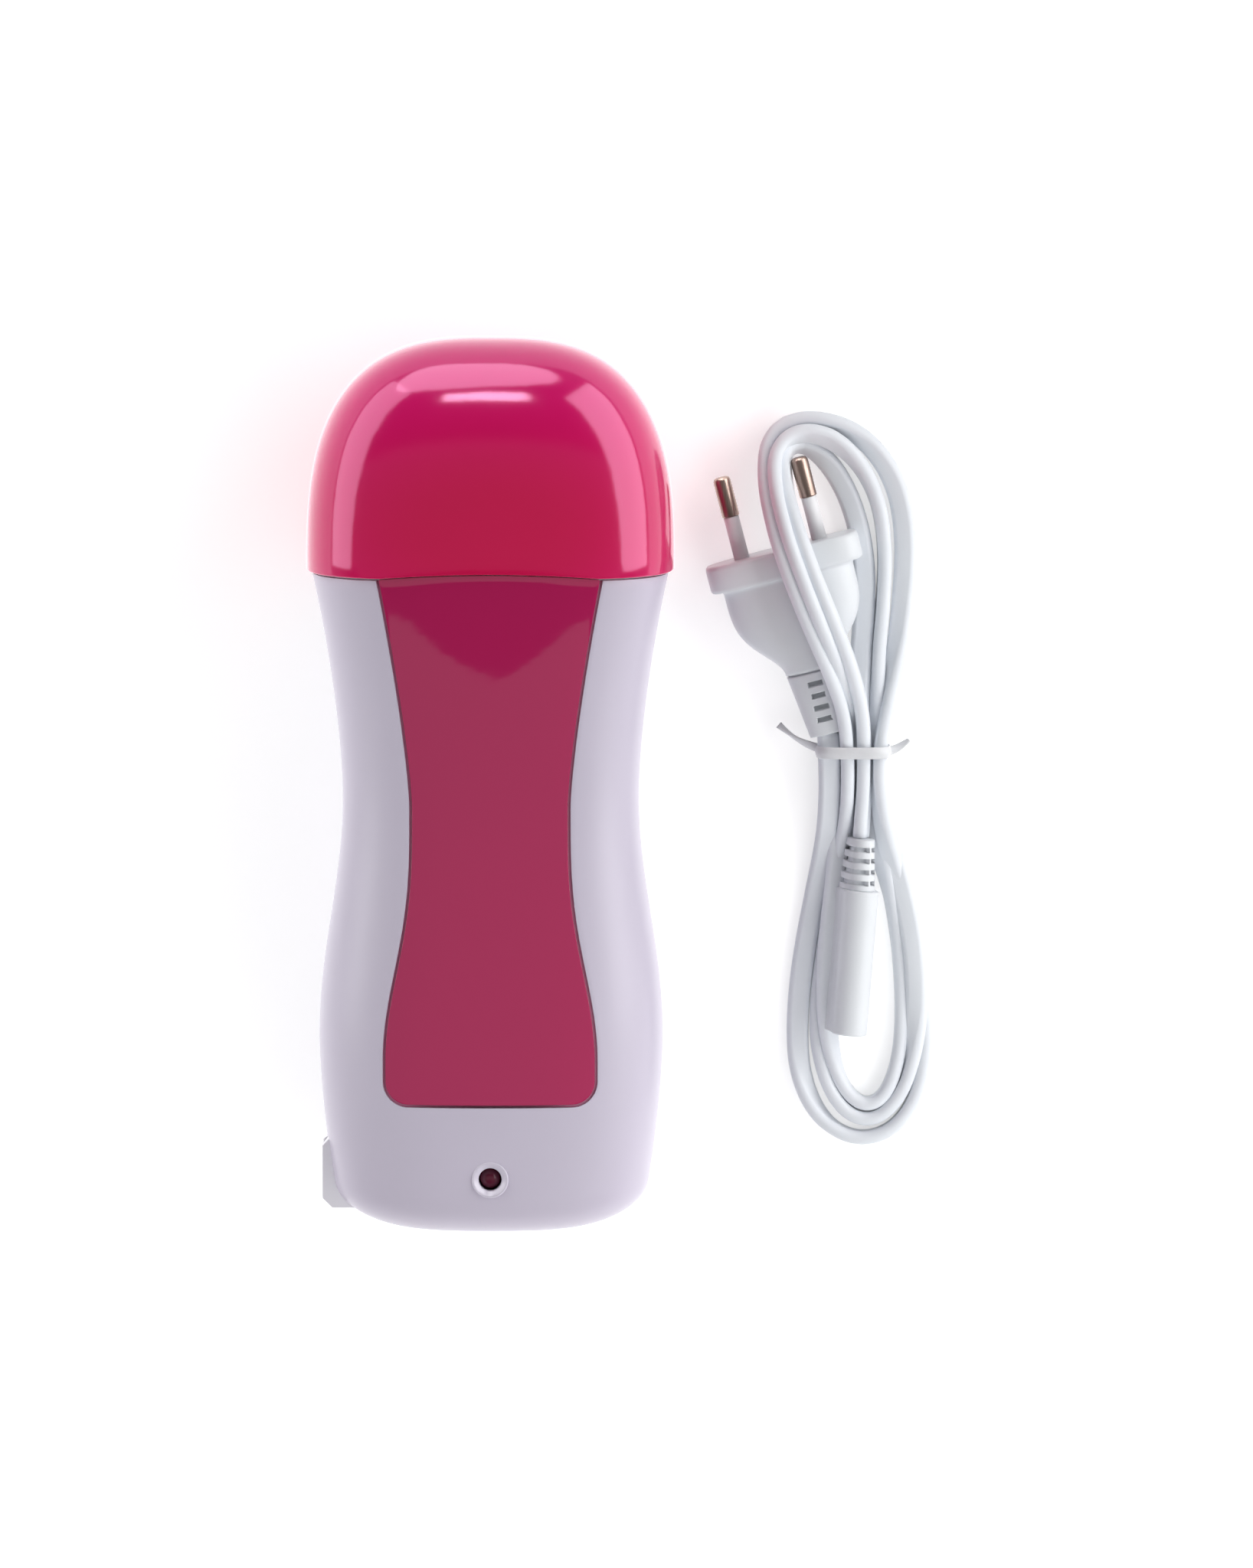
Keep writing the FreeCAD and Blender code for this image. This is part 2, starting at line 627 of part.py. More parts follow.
ELEMENT = FOOT + S.element_rise
STACK = {}            # height of each layer's upper face, counted down from the back of the trough
STACK["upper mica"] = TROUGH_BACK
STACK["upper electrode"] = STACK["upper mica"] - S.mica_wall
STACK["stones"] = STACK["upper electrode"] - S.electrode_wall
STACK["lower electrode"] = STACK["stones"] - S.stone_wall
STACK["lower mica"] = STACK["lower electrode"] - S.electrode_wall
STACK["clamp"] = STACK["lower mica"] - S.mica_wall
PLATE_HALF_WIDTH = S.stone_width / 2 + S.electrode_margin
PLATE_HALF_LENGTH = S.stone_gap / 2 + S.stone_length + S.electrode_margin
MICA_HALF_LENGTH = PLATE_HALF_LENGTH + S.mica_margin
TAB_END = ELEMENT - PLATE_HALF_LENGTH - S.tab_length
RIVET_REACH = MICA_HALF_LENGTH + S.clamp_slack + S.clamp_foot / 2


def heat_trough():
    """Aluminium sheet bent round the back and sides of the cartridge, with two rivet holes."""
    half = S.well_width / 2
    top = NECK_TOP - S.collar_wall - S.slip
    outer = box("trough_outer", (-(half + S.trough_wall), WELL_FLOOR + S.slip, TROUGH_BACK),
                (half + S.trough_wall, top, WELL_FRONT + S.trough_wall))
    inner = box("trough_inner", (-half, WELL_FLOOR - 1, S.well_back), (half, top + 1, WELL_FRONT))
    tube = cut("trough_tube", rounded("trough_outer_round", outer, S.well_corner + S.trough_wall, ALONG),
               rounded("trough_inner_round", inner, S.well_corner, ALONG))
    lid = box("trough_opening", (-(half + 2), WELL_FLOOR - 1, S.well_back + S.trough_side),
              (half + 2, top + 1, WELL_FRONT + 2))
    holes = [rod("trough_hole_%d" % side, (0, ELEMENT + RIVET_REACH * side, 0), S.rivet_radius, WELL_FRONT)
             for side in (-1, 1)]
    return cut("trough_bent", tube, fuse("trough_tools", [lid] + holes))


def layer(name, half_width, half_length, upper, wall):
    """One flat sheet of the heating element."""
    return box(name, (-half_width, ELEMENT - half_length, upper - wall), (half_width, ELEMENT + half_length, upper))


def heating_stones():
    made = []
    for side in (-1, 1):
        middle = ELEMENT + (S.stone_gap + S.stone_length) / 2 * side
        made.append(box("stone_%d" % side,
                        (-S.stone_width / 2, middle - S.stone_length / 2, STACK["stones"] - S.stone_wall),
                        (S.stone_width / 2, middle + S.stone_length / 2, STACK["stones"])))
    return group("stones", made)


def electrodes():
    """A plate on each side of the stones, each with a flat terminal towards the foot."""
    made = []
    for place_name, side in (("upper electrode", 1), ("lower electrode", -1)):
        upper = STACK[place_name]
        plate = layer("plate_%d" % side, PLATE_HALF_WIDTH, PLATE_HALF_LENGTH, upper, S.electrode_wall)
        middle = S.tab_offset * side
        tab = box("tab_%d" % side, (middle - S.tab_width / 2, TAB_END, upper - S.electrode_wall),
                  (middle + S.tab_width / 2, ELEMENT - PLATE_HALF_LENGTH + 1, upper))
        made.append(fuse("electrode_%d" % side, [plate, tab]))
    return group("electrodes", made)


def mica_sheets():
    return group("mica", [
        layer(name.replace(" ", "_"), PLATE_HALF_WIDTH + S.mica_margin, MICA_HALF_LENGTH, STACK[name], S.mica_wall)
        for name in ("upper mica", "lower mica")])


def heater_clamp():
    """Spring strip, bent down over the element, with a riveted foot at each end."""
    rise = TROUGH_BACK - STACK["clamp"]
    foot, leg, flat = S.clamp_foot, S.clamp_slack, MICA_HALF_LENGTH * 2
    bends = [(length(0), rise), (foot, rise), (foot + leg, length(0)), (foot + leg + flat, length(0)),
             (foot + leg * 2 + flat, rise), (foot * 2 + leg * 2 + flat, rise)]
    outline = bends + [(along, up + S.clamp_wall) for along, up in reversed(bends)]
    body = doc.addObject("PartDesign::Body", "clamp_body")
    pad = body.newObject("PartDesign::Pad", "clamp_pad")
    pad.Profile = sketch_on(body, "YZ_Plane", outline)
    bind(pad, "Length", S.clamp_width)
    body.Tip = pad
    place(body, (-S.clamp_width / 2, ELEMENT - foot - leg - flat / 2, STACK["clamp"] - S.clamp_wall))
    holes = [rod("clamp_hole_%d" % side, (0, ELEMENT + RIVET_REACH * side, 0), S.rivet_radius, WELL_FRONT)
             for side in (-1, 1)]
    return cut("clamp_drilled", body, fuse("clamp_holes", holes))


def clamp_rivets():
    under = TROUGH_BACK - S.clamp_wall - S.rivet_head
    made = []
    for side in (-1, 1):
        rivet = turned("rivet_%d" % (side + 2), [
            (0, 0), (S.rivet_head_radius, 0), (S.rivet_head_radius, S.rivet_head),
            (S.rivet_radius, S.rivet_head), (S.rivet_radius, S.rivet_head + S.clamp_wall + S.trough_wall),
            (0, S.rivet_head + S.clamp_wall + S.trough_wall)])
        place(rivet, (0, ELEMENT + RIVET_REACH * side, under))
        made.append(rivet)
    return group("rivets", made)


FUSE_MIDDLE = FOOT + S.fuse_rise
FUSE_HEIGHT = TROUGH_BACK - S.fuse_radius - S.slip
FUSE_END = S.fuse_length / 2 + S.fuse_lead


def thermal_fuse():
    body = rod("fuse_body", (-S.fuse_length / 2, FUSE_MIDDLE, FUSE_HEIGHT), S.fuse_radius, S.fuse_length, ACROSS)
    leads = rod("fuse_leads", (-FUSE_END, FUSE_MIDDLE, FUSE_HEIGHT), S.wire_radius / 2, FUSE_END * 2, ACROSS)
    return fuse("fuse", [body, leads])


# ---------------------------------------------------------------- inlet, lamp and board

INLET_BACK = S.inlet_reach - S.inlet_face
PIN_ENDS = INLET_BACK + S.terminal_length


def inlet_housing():
    """Moulded block in the side of the heater with a two-lobed socket that faces left."""
    low = (-S.inlet_face, INLET_PLACE - S.inlet_length / 2, S.parting_height - S.inlet_depth / 2)
    high = (INLET_BACK, INLET_PLACE + S.inlet_length / 2, S.parting_height + S.inlet_depth / 2)
    block = half_space(low, high)
    front = [edge for edge in block.Edges if abs(edge.BoundBox.XMax + N.inlet_face) < 1e-6]
    ends = [edge for edge in front if edge.tangentAt(0).cross(UP).Length < 1e-6]
    block = block.makeChamfer(N.inlet_bevel, ends)
    wide = S.inlet_length / 2 + S.inlet_flange
    deep = S.inlet_depth / 2 + S.inlet_flange
    behind = INLET_BACK - S.inlet_floor
    flange = half_space((behind - S.inlet_flange_wall, INLET_PLACE - wide, S.parting_height - deep),
                        (behind, INLET_PLACE + wide, S.parting_height + deep))
    block = block.fuse(flange.common(body_block(COLLAR_INSET)))
    lobes = []
    for side in (-1, 1):
        lobe = (-FAR, INLET_PLACE + S.lobe_spacing / 2 * side, S.parting_height)
        lobes.append(plain_rod(lobe, S.socket_radius, behind + FAR, ACROSS))
        pin = (-FAR, INLET_PLACE + S.contact_spacing / 2 * side, S.parting_height)
        lobes.append(plain_rod(pin, S.inlet_pin_root, FAR * 2, ACROSS))
    return block.cut(lobes[0].fuse(lobes[1:])).removeSplitter()


def inlet_pins():
    """Two round pins, each with a flat terminal inside the heater."""
    floor = INLET_BACK - S.inlet_floor
    made = []
    for side in (-1, 1):
        y = INLET_PLACE + S.contact_spacing / 2 * side
        pin = rod("inlet_pin_%d" % side, (floor - S.inlet_pin_length, y, S.parting_height), S.inlet_pin_radius,
                  S.inlet_pin_length, ACROSS)
        root = rod("inlet_root_%d" % side, (floor, y, S.parting_height), S.inlet_pin_root, S.inlet_floor, ACROSS)
        tab = box("inlet_tab_%d" % side,
                  (INLET_BACK, y - S.electrode_wall, S.parting_height - S.tab_width / 2),
                  (PIN_ENDS, y + S.electrode_wall, S.parting_height + S.tab_width / 2))
        made.append(fuse("inlet_contact_%d" % side, [pin, root, tab]))
    return group("inlet_contacts", made)


def lamp_bezel():
    """Dished ring round the lamp, pushed into the front half."""
    rim = S.bezel_sink + S.bezel_rim
    inside = S.lamp_radius + S.slip
    bezel = turned("bezel_ring", [
        (inside, 0), (S.bezel_neck, 0), (S.bezel_neck, S.bezel_length), (S.bezel_radius, S.bezel_length),
        (S.bezel_radius, S.bezel_length + rim), (S.bezel_radius - S.bezel_rim, S.bezel_length + rim),
        (inside, S.bezel_length + rim - S.bezel_sink)])
    place(bezel, (0, LAMP_PLACE, LAMP_FACE - S.bezel_sink - S.bezel_length))
    return bezel


def indicator_lamp():
    """Round lamp with a domed end on a flange, standing on the board."""
    dome = S.lamp_radius
    straight = S.lamp_height - dome
    body = rod("lamp_body", (0, LAMP_PLACE, BOARD_TOP), S.lamp_radius, straight)
    flange = rod("lamp_foot", (0, LAMP_PLACE, BOARD_TOP), S.lamp_flange, S.board_wall / 2)
    ball = doc.addObject("Part::Sphere", "lamp_dome")
    bind(ball, "Radius", dome)
    place(ball, (0, LAMP_PLACE, BOARD_TOP + straight))
    return fuse("lamp", [body, flange, ball])


def lamp_board():
    """Small board under the lamp, staked on the two posts of the front half."""
    low = (-S.board_length / 2, LAMP_PLACE - S.board_width / 2, BOARD_TOP - S.board_wall)
    high = (S.board_length / 2, LAMP_PLACE + S.board_width / 2, BOARD_TOP)
    holes = [rod("board_hole_%d" % side, (S.post_spacing / 2 * side, LAMP_PLACE, 0), S.pin_radius + S.slip,
                 LAMP_FACE) for side in (-1, 1)]
    return cut("board_drilled", box("board_blank", low, high), fuse("board_holes", holes))


def case_screws():
    """Self-tapping screws with a cross recess, put in from the back."""
    made = []
    recess = S.screw_radius / 2
    for number, (x, y) in enumerate(SCREW_POINTS, start=1):
        screw = turned("screw_%d" % number, [
            (0, 0), (S.screw_head_radius, 0), (S.screw_head_radius, S.screw_head),
            (S.screw_radius, S.screw_head), (S.screw_radius, S.screw_head + S.screw_length),
            (0, S.screw_head + S.screw_length)])
        place(screw, (x, y, S.screw_seat - S.screw_head))
        bottom = S.screw_seat - S.screw_head
        bars = [box("cross_%d_%d" % (number, turn),
                    (x - half_x, y - half_y, bottom - 1), (x + half_x, y + half_y, bottom + S.screw_head / 2))
                for turn, (half_x, half_y) in enumerate(((recess * 2, recess / 2), (recess / 2, recess * 2)))]
        made.append(cut("screw_cut_%d" % number, screw, fuse("cross_%d" % number, bars)))
    return group("screws", made)


# ---------------------------------------------------------------- wires

ARC_SHARE = 0.45      # the share of the shorter run that an arc may take


def rounded_route(points):
    """Straight runs through the points, joined by tangent arcs as large as the runs allow."""
    points = [Vec(*[float(value) for value in point]) for point in points]
    edges, start, radii = [], points[0], []
    for before, corner, after in zip(points, points[1:], points[2:]):
        back, on = (before - corner).normalize(), (after - corner).normalize()
        shorter = min(before.distanceToPoint(corner), after.distanceToPoint(corner))
        half_turn = (pi - back.getAngle(on)) / 2
        reach = ARC_SHARE * shorter
        radius = reach / tan(half_turn)
        into, out = corner + back * reach, corner + on * reach
        bisector = (back + on).normalize()
        middle = corner + bisector * (radius / cos(half_turn) - radius)
        edges.append(Part.LineSegment(start, into).toShape())
        edges.append(Part.Arc(into, middle, out).toShape())
        start = out
        radii.append(round(radius, 1))
    edges.append(Part.LineSegment(start, points[-1]).toShape())
    return Part.Wire(edges), radii


def tube(name, points, radius):
    """A round tube along a route, its volume compared with its section times its length."""
    wire, radii = rounded_route(points)
    first = wire.Edges[0]
    ring = Part.Wire(Part.makeCircle(radius, first.valueAt(first.FirstParameter),
                                     first.tangentAt(first.FirstParameter)))
    solid = wire.makePipeShell([ring], True, False)
    if solid.Volume < 0:
        solid.reverse()
    ratio = solid.Volume / (pi * radius ** 2 * wire.Length)
    print("%s: %.0f mm long, volume ratio %.4f, radii %s" % (name, wire.Length, ratio, radii))
    return solid


def leaded(name, offset, body_length):
    """A small round component that hangs under the board on a bent lead at each end."""
    y, under = float(LAMP_PLACE + offset), float(BOARD_TOP - S.board_wall)
    z = under - N.resistor_radius - N.component_drop
    span = body_length / 2 + N.component_drop
    lead = tube(name + "_lead", [(-span, y, under), (-span, y, z), (span, y, z), (span, y, under)], N.lead_radius)
    body = plain_rod((-body_length / 2, y, z), N.resistor_radius, body_length, ACROSS)
    return body.fuse(lead).removeSplitter()


def series_resistor():
    return leaded("resistor", -S.board_width / 4, N.resistor_length)


def rectifier_diode():
    return leaded("diode", S.board_width / 4, N.diode_length)


LOW_Z = N.shell_wall + 2 * N.wire_radius + N.slip       # wires lie just over the back wall
LANE = N.wire_gap / 2 - 2 * N.wire_radius               # beside the heating element


def live_wire():
    """From the inlet's lower terminal, up beside the element, to the thermal fuse."""
    start, y = float(PIN_ENDS), float(INLET_PLACE) - N.contact_spacing / 2
    end_y, end_z = float(FUSE_MIDDLE), float(FUSE_HEIGHT)
    return tube("live_wire", [
        (start, y, N.parting_height), (start + 9, y, N.parting_height), (start + 18, y + 6, 15),
        (start + 26, y + 18, LOW_Z + 1), (LANE, y + 40, LOW_Z), (LANE, end_y - 14, LOW_Z + 0.4),
        (LANE, end_y, end_z), (float(FUSE_END), end_y, end_z)], N.wire_radius)


def neutral_wire():
    """From the inlet's upper terminal to the upper electrode."""
    start, y = float(PIN_ENDS), float(INLET_PLACE) + N.contact_spacing / 2
    end_y, end_z = float(TAB_END), float(TROUGH_BACK) - N.wire_radius - 2 * N.slip
    return tube("neutral_wire", [
        (start, y, N.parting_height), (start + 7, y, N.parting_height), (start + 13, y + 8, 13),
        (0, y + 22, LOW_Z + 1), (N.tab_offset, end_y - 12, LOW_Z + 1.4), (N.tab_offset, end_y - 4, end_z),
        (N.tab_offset, end_y, end_z)], N.wire_radius)


def fuse_wire():
    """From the thermal fuse back down to the lower electrode."""
    y, z = float(FUSE_MIDDLE), float(FUSE_HEIGHT)
    end_y, end_z = float(TAB_END), float(STACK["lower electrode"]) - N.electrode_wall / 2
    return tube("fuse_wire", [
        (-float(FUSE_END), y, z), (-LANE, y, z), (-LANE, y - 14, LOW_Z + 0.4),
        (-LANE, end_y - 2, LOW_Z + 0.4), (-LANE + 2, end_y - 8, LOW_Z + 0.6),
        (-N.tab_offset, end_y - 8, end_z), (-N.tab_offset, end_y, end_z)], N.wire_radius)


def lamp_wires():
    """From the inlet's terminals up to the board."""
    x = (float(INLET_BACK) + float(PIN_ENDS)) / 2
    top = float(BOARD_TOP) - N.board_wall
    made = []
    for side in (-1, 1):
        y = float(INLET_PLACE) + N.contact_spacing / 2 * side
        made.append(tube("lamp_wire", [
            (x, y, N.parting_height + N.tab_width / 2), (x, y, N.parting_height + N.tab_width / 2 + 4),
            (-N.board_length / 2 + 2.2, y * 0.7 + float(LAMP_PLACE) * 0.3, top - 4),
            (-N.board_length / 2 + 2.2, y * 0.7 + float(LAMP_PLACE) * 0.3, top)], N.wire_radius))
    return Part.makeCompound(made)


# ---------------------------------------------------------------- mains lead, lying beside the heater

PLUG_PLACE = (65.1, 50.7)            # middle of the plug's face
PLUG_TURN = 14.5                     # degrees, anticlockwise from the heater's length
CONNECTOR_PLACE = (79.8, -59.5)      # middle of the connector's face
CONNECTOR_TURN = -4.6
CONNECTOR_LEAN = 70                  # degrees that it is rolled up on its edge
TIE_PLACE = (81.6, 4.6)
HANK_LOW, HANK_HIGH = -14.4, 7.6     # the bundled middle of the hank
UPPER_LOOP = [
    (83.8, 6.6, 6.4), (83.4, 14.0, 8.6), (81.0, 24.0, 15.6), (77.2, 34.0, 18.2), (72.6, 44.0, 18.0),
    (67.4, 54.5, 17.8), (63.6, 64.5, 12.4), (62.9, 73.0, 5.4), (68.0, 77.8, 3.7), (77.0, 76.6, 3.7),
    (85.5, 70.5, 3.7), (91.0, 60.0, 3.7), (92.0, 46.0, 3.7), (89.8, 30.0, 3.7), (86.8, 17.0, 3.7),
    (85.6, 6.6, 4.6)]
LOWER_LOOP = [
    (78.0, 0.0, 4.0), (76.4, -14.0, 3.7), (73.2, -28.0, 3.7), (69.8, -46.0, 3.7), (69.0, -63.0, 3.7),
    (73.0, -76.5, 3.7), (81.8, -81.8, 3.7), (90.8, -78.6, 3.7), (96.4, -68.0, 3.7), (97.2, -54.0, 3.7),
    (95.0, -38.0, 3.7), (91.4, -23.0, 3.7), (87.8, -10.0, 3.7), (86.4, 0.0, 4.0)]


def stations(low, high, steps):
    return [low + (high - low) * step / steps for step in range(steps + 1)]


def lay_plug(shape):
    """From the plug's own frame, pins along +Y, to where it lies on its flat side."""
    shape.rotate(Vec(0, 0, 0), UP, PLUG_TURN)
    shape.translate(Vec(*PLUG_PLACE, N.plug_flange_depth / 2))
    return shape


def lay_connector(shape):
    """From the connector's own frame, cord end along +Y, to where it leans on its edge."""
    shape.rotate(Vec(0, 0, 0), ALONG, -CONNECTOR_LEAN)
    shape.rotate(Vec(0, 0, 0), UP, CONNECTOR_TURN)
    lobe = N.connector_depth / 2
    height = (N.connector_width / 2 - lobe) * sin(radians(CONNECTOR_LEAN)) + lobe
    shape.translate(Vec(*CONNECTOR_PLACE, height))
    return shape


def taper(ys, half_width, half_depth):
    """Loft of ovals along -Y, each size a function of the share of the way."""
    rings = []
    for y in ys:
        share = (y - ys[0]) / (ys[-1] - ys[0])
        wide, deep = half_width(share), half_depth(share)
        rings.append(oval(-y, wide, -deep, deep, 0))
    return Part.makeLoft(rings, True, False)


GRIP_WIDTH, GRIP_DEPTH = 30.0, 12.6          # the plug's grip at the flange
NECK_WIDTH, NECK_DEPTH = 12.0, 8.4           # the plug's grip at the strain relief
CORD_END_WIDTH, CORD_END_DEPTH = 8.4, 5.6    # a strain relief where the cord enters


def plug_body():
    """Oval flange with a tapered grip behind it."""
    half, deep = N.plug_flange_width / 2, N.plug_flange_depth / 2
    flange = Part.makeBox(2 * half, N.plug_flange_wall, 2 * deep, Vec(-half, -N.plug_flange_wall, -deep))
    along = [edge for edge in flange.Edges if edge.tangentAt(0).cross(ALONG).Length < 1e-6]
    flange = flange.makeFillet(deep * 0.98, along)
    ys = stations(N.plug_flange_wall - 1, N.plug_flange_wall + N.plug_body_length, 6)
    grip = taper(
        ys,
        lambda share: (GRIP_WIDTH - (GRIP_WIDTH - NECK_WIDTH) * share ** 1.7) / 2,
        lambda share: (GRIP_DEPTH - (GRIP_DEPTH - NECK_DEPTH) * share ** 2) / 2)
    body = flange.fuse(grip)
    for side in (-1, 1):
        root = (N.plug_pin_spacing / 2 * side, -N.plug_pin_root, 0)
        body = body.cut(plain_rod(root, core_radius(), FAR, ALONG))
    return lay_plug(body.removeSplitter())


def core_radius():
    """Radius of a plug pin inside its insulation."""
    return N.plug_pin_radius - N.plug_sleeve_step - N.plug_sleeve_wall


def plug_pins():
    """Round-ended pins: thick where bare, thinner under the insulation and inside the plug."""
    made = []
    for side in (-1, 1):
        x = N.plug_pin_spacing / 2 * side
        core = plain_rod((x, -N.plug_pin_root, 0), core_radius(), N.plug_pin_root + N.plug_sleeve_length, ALONG)
        bare = plain_rod((x, N.plug_sleeve_length, 0), N.plug_pin_radius,
                         N.plug_pin_length - N.plug_sleeve_length, ALONG)
        end = [edge for edge in bare.Edges if abs(edge.BoundBox.YMin - N.plug_pin_length) < 1e-6]
        made.append(core.fuse(bare.makeFillet(N.plug_pin_radius / 3, end)).removeSplitter())
    return lay_plug(Part.makeCompound(made))


def pin_sleeves():
    made = []
    for side in (-1, 1):
        x = N.plug_pin_spacing / 2 * side
        outer = plain_rod((x, 0, 0), core_radius() + N.plug_sleeve_wall, N.plug_sleeve_length, ALONG)
        made.append(outer.cut(plain_rod((x, 0, 0), core_radius(), N.plug_sleeve_length, ALONG)))
    return lay_plug(Part.makeCompound(made))


def plug_relief():
    """Flexible sleeve behind the plug, slotted across on both faces so that it bends."""
    low = N.plug_flange_wall + N.plug_body_length
    high = low + N.plug_relief_length
    body = taper(
        stations(low, high, 3),
        lambda share: (NECK_WIDTH - (NECK_WIDTH - CORD_END_WIDTH) * share) / 2,
        lambda share: (NECK_DEPTH - (NECK_DEPTH - CORD_END_DEPTH) * share) / 2)
    pitch = N.plug_relief_length / 5
    for row in (1, 2, 3):
        for column in (-1, 1):
            for face in (-1, 1):
                slot = Part.makeBox(2.6, N.relief_slot, 2, Vec(-1.3, 0, -1))
                slot.translate(Vec(2.1 * column, -low - row * pitch, NECK_DEPTH / 2 * face))
                body = body.cut(slot)
    return lay_plug(body)


def connector_body():
    """Two-lobed connector with a bore for each contact sleeve."""
    lobe = N.connector_depth / 2
    offset = N.connector_width / 2 - lobe
    lobes = [plain_rod((side * offset, 0, 0), lobe, N.connector_length, ALONG) for side in (-1, 1)]
    valley = Part.makeBox(2 * offset, N.connector_length, N.connector_depth * 0.9,
                          Vec(-offset, 0, -N.connector_depth * 0.45))
    body = lobes[0].fuse([lobes[1], valley])
    for side in (-1, 1):
        mouth = (N.contact_spacing / 2 * side, 0, 0)
        body = body.cut(plain_rod(mouth, N.contact_bore + N.contact_wall,
                                  N.contact_recess + N.contact_length, ALONG))
    return lay_connector(body.removeSplitter())


def connector_contacts():
    made = []
    for side in (-1, 1):
        mouth = (N.contact_spacing / 2 * side, N.contact_recess, 0)
        sleeve = plain_rod(mouth, N.contact_bore + N.contact_wall, N.contact_length, ALONG)
        made.append(sleeve.cut(plain_rod(mouth, N.contact_bore, N.contact_length, ALONG)))
    return lay_connector(Part.makeCompound(made))


def connector_relief():
    """Slotted sleeve between the connector and its cord."""
    low, high = N.connector_length, N.connector_length + N.relief_length
    body = taper(
        stations(low, high, 3),
        lambda share: (N.connector_width - 2.5 - (N.connector_width - 2.5 - CORD_END_WIDTH) * share) / 2,
        lambda share: (N.connector_depth - 0.8 - (N.connector_depth - 0.8 - CORD_END_DEPTH) * share) / 2)
    body = body.mirror(Vec(0, 0, 0), ALONG)
    pitch = N.relief_length / 5
    for row in (1, 2, 3, 4):
        for face in (-1, 1):
            across = Part.makeBox(6, N.relief_slot, 2, Vec(-3, low + row * pitch - N.relief_slot / 2, -1))
            across.translate(Vec(0, 0, N.connector_depth / 2 * face))
            side = Part.makeBox(2, N.relief_slot, 3.4, Vec(-1, low + row * pitch - N.relief_slot / 2, -1.7))
            side.translate(Vec(N.connector_width / 2 * face, 0, 0))
            body = body.cut(across).cut(side)
    return lay_connector(body)


def bundle_block(grow, low, high):
    """The bundled strands in the tie, as a block with rounded corners."""
    half = N.hank_waist_width / 2 + grow
    floor = N.tie_wall + 2 * N.slip - grow
    block = Part.makeBox(2 * half, high - low, N.hank_waist_height + grow - floor,
                         Vec(TIE_PLACE[0] - half, low, floor))
    along = [edge for edge in block.Edges if edge.tangentAt(0).cross(ALONG).Length < 1e-6]
    return block.makeFillet(3 + grow, along)


def half_loops(name, points):
    """A loop as two tubes that meet end to end: its ends run into each other, which one tube can't."""
    wire, radii = rounded_route(points)
    middle = len(wire.Edges) // 2
    halves = []
    for edges in (wire.Edges[:middle], wire.Edges[middle:]):
        ring = Part.Wire(Part.makeCircle(N.hank_radius, edges[0].valueAt(edges[0].FirstParameter),
                                         edges[0].tangentAt(edges[0].FirstParameter)))
        halves.append(Part.Wire(edges).makePipeShell([ring], True, False))
    ratio = sum(abs(half.Volume) for half in halves) / (pi * N.hank_radius ** 2 * wire.Length)
    print("%s: %.0f mm long, volume ratio %.4f, radii %s" % (name, wire.Length, ratio, radii))
    return halves


def cord_hank():
    """Outer shape of the tied hank: a loop at each end of the bundle."""
    hank = bundle_block(0, HANK_LOW, HANK_HIGH)
    for half in half_loops("upper_loop", UPPER_LOOP) + half_loops("lower_loop", LOWER_LOOP):
        hank = hank.fuse(half)
    return hank.removeSplitter()


def twist_tie():
    """Flat tie round the bundle, with its two twisted ends sticking out."""
    low = TIE_PLACE[1] - N.tie_width / 2
    ring = bundle_block(N.slip + N.tie_wall, low, low + N.tie_width)
    ring = ring.cut(bundle_block(N.slip, low - 1, low + N.tie_width + 1))
    side = N.hank_waist_width / 2 + N.slip + N.tie_wall / 2
    left = tube("left_tail", [
        (TIE_PLACE[0] - side, TIE_PLACE[1], 4.4), (TIE_PLACE[0] - side - 3.4, TIE_PLACE[1] + 1.6, 3.4),
        (TIE_PLACE[0] - side - 8, TIE_PLACE[1] + 5.6, 2.4)], N.tie_wall)
    right = tube("right_tail", [
        (TIE_PLACE[0] + side, TIE_PLACE[1], 4.4), (TIE_PLACE[0] + side + 1.6, TIE_PLACE[1] + 0.4, 3.6),
        (TIE_PLACE[0] + side + 3.6, TIE_PLACE[1] + 2, 2.8)], N.tie_wall)
    return ring.fuse([left, right]).cut(bundle_block(N.slip, low - 1, low + N.tie_width + 1))


# ---------------------------------------------------------------- the finished sub-parts

for name, make in (
        ("front_shell", front_shell), ("back_shell", back_shell), ("window_panel", window_panel),
        ("neck_collar", neck_collar), ("cap", cap), ("bulkhead", bulkhead), ("inlet_housing", inlet_housing),
        ("live_wire", live_wire), ("neutral_wire", neutral_wire), ("fuse_wire", fuse_wire),
        ("lamp_wires", lamp_wires), ("series_resistor", series_resistor),
        ("rectifier_diode", rectifier_diode), ("plug_body", plug_body), ("plug_pins", plug_pins),
        ("plug_pin_sleeves", pin_sleeves), ("plug_strain_relief", plug_relief),
        ("connector_body", connector_body), ("connector_contacts", connector_contacts),
        ("connector_strain_relief", connector_relief), ("cord_hank", cord_hank), ("twist_tie", twist_tie)):
    node(feature(name + "_shape", make()), name)

for name, make in (
        ("heat_trough", heat_trough), ("heating_stones", heating_stones), ("electrodes", electrodes),
        ("mica_sheets", mica_sheets), ("heater_clamp", heater_clamp), ("clamp_rivets", clamp_rivets),
        ("thermal_fuse", thermal_fuse), ("inlet_pins", inlet_pins), ("lamp_bezel", lamp_bezel),
        ("indicator_lamp", indicator_lamp), ("lamp_board", lamp_board), ("case_screws", case_screws)):
    node(make(), name)

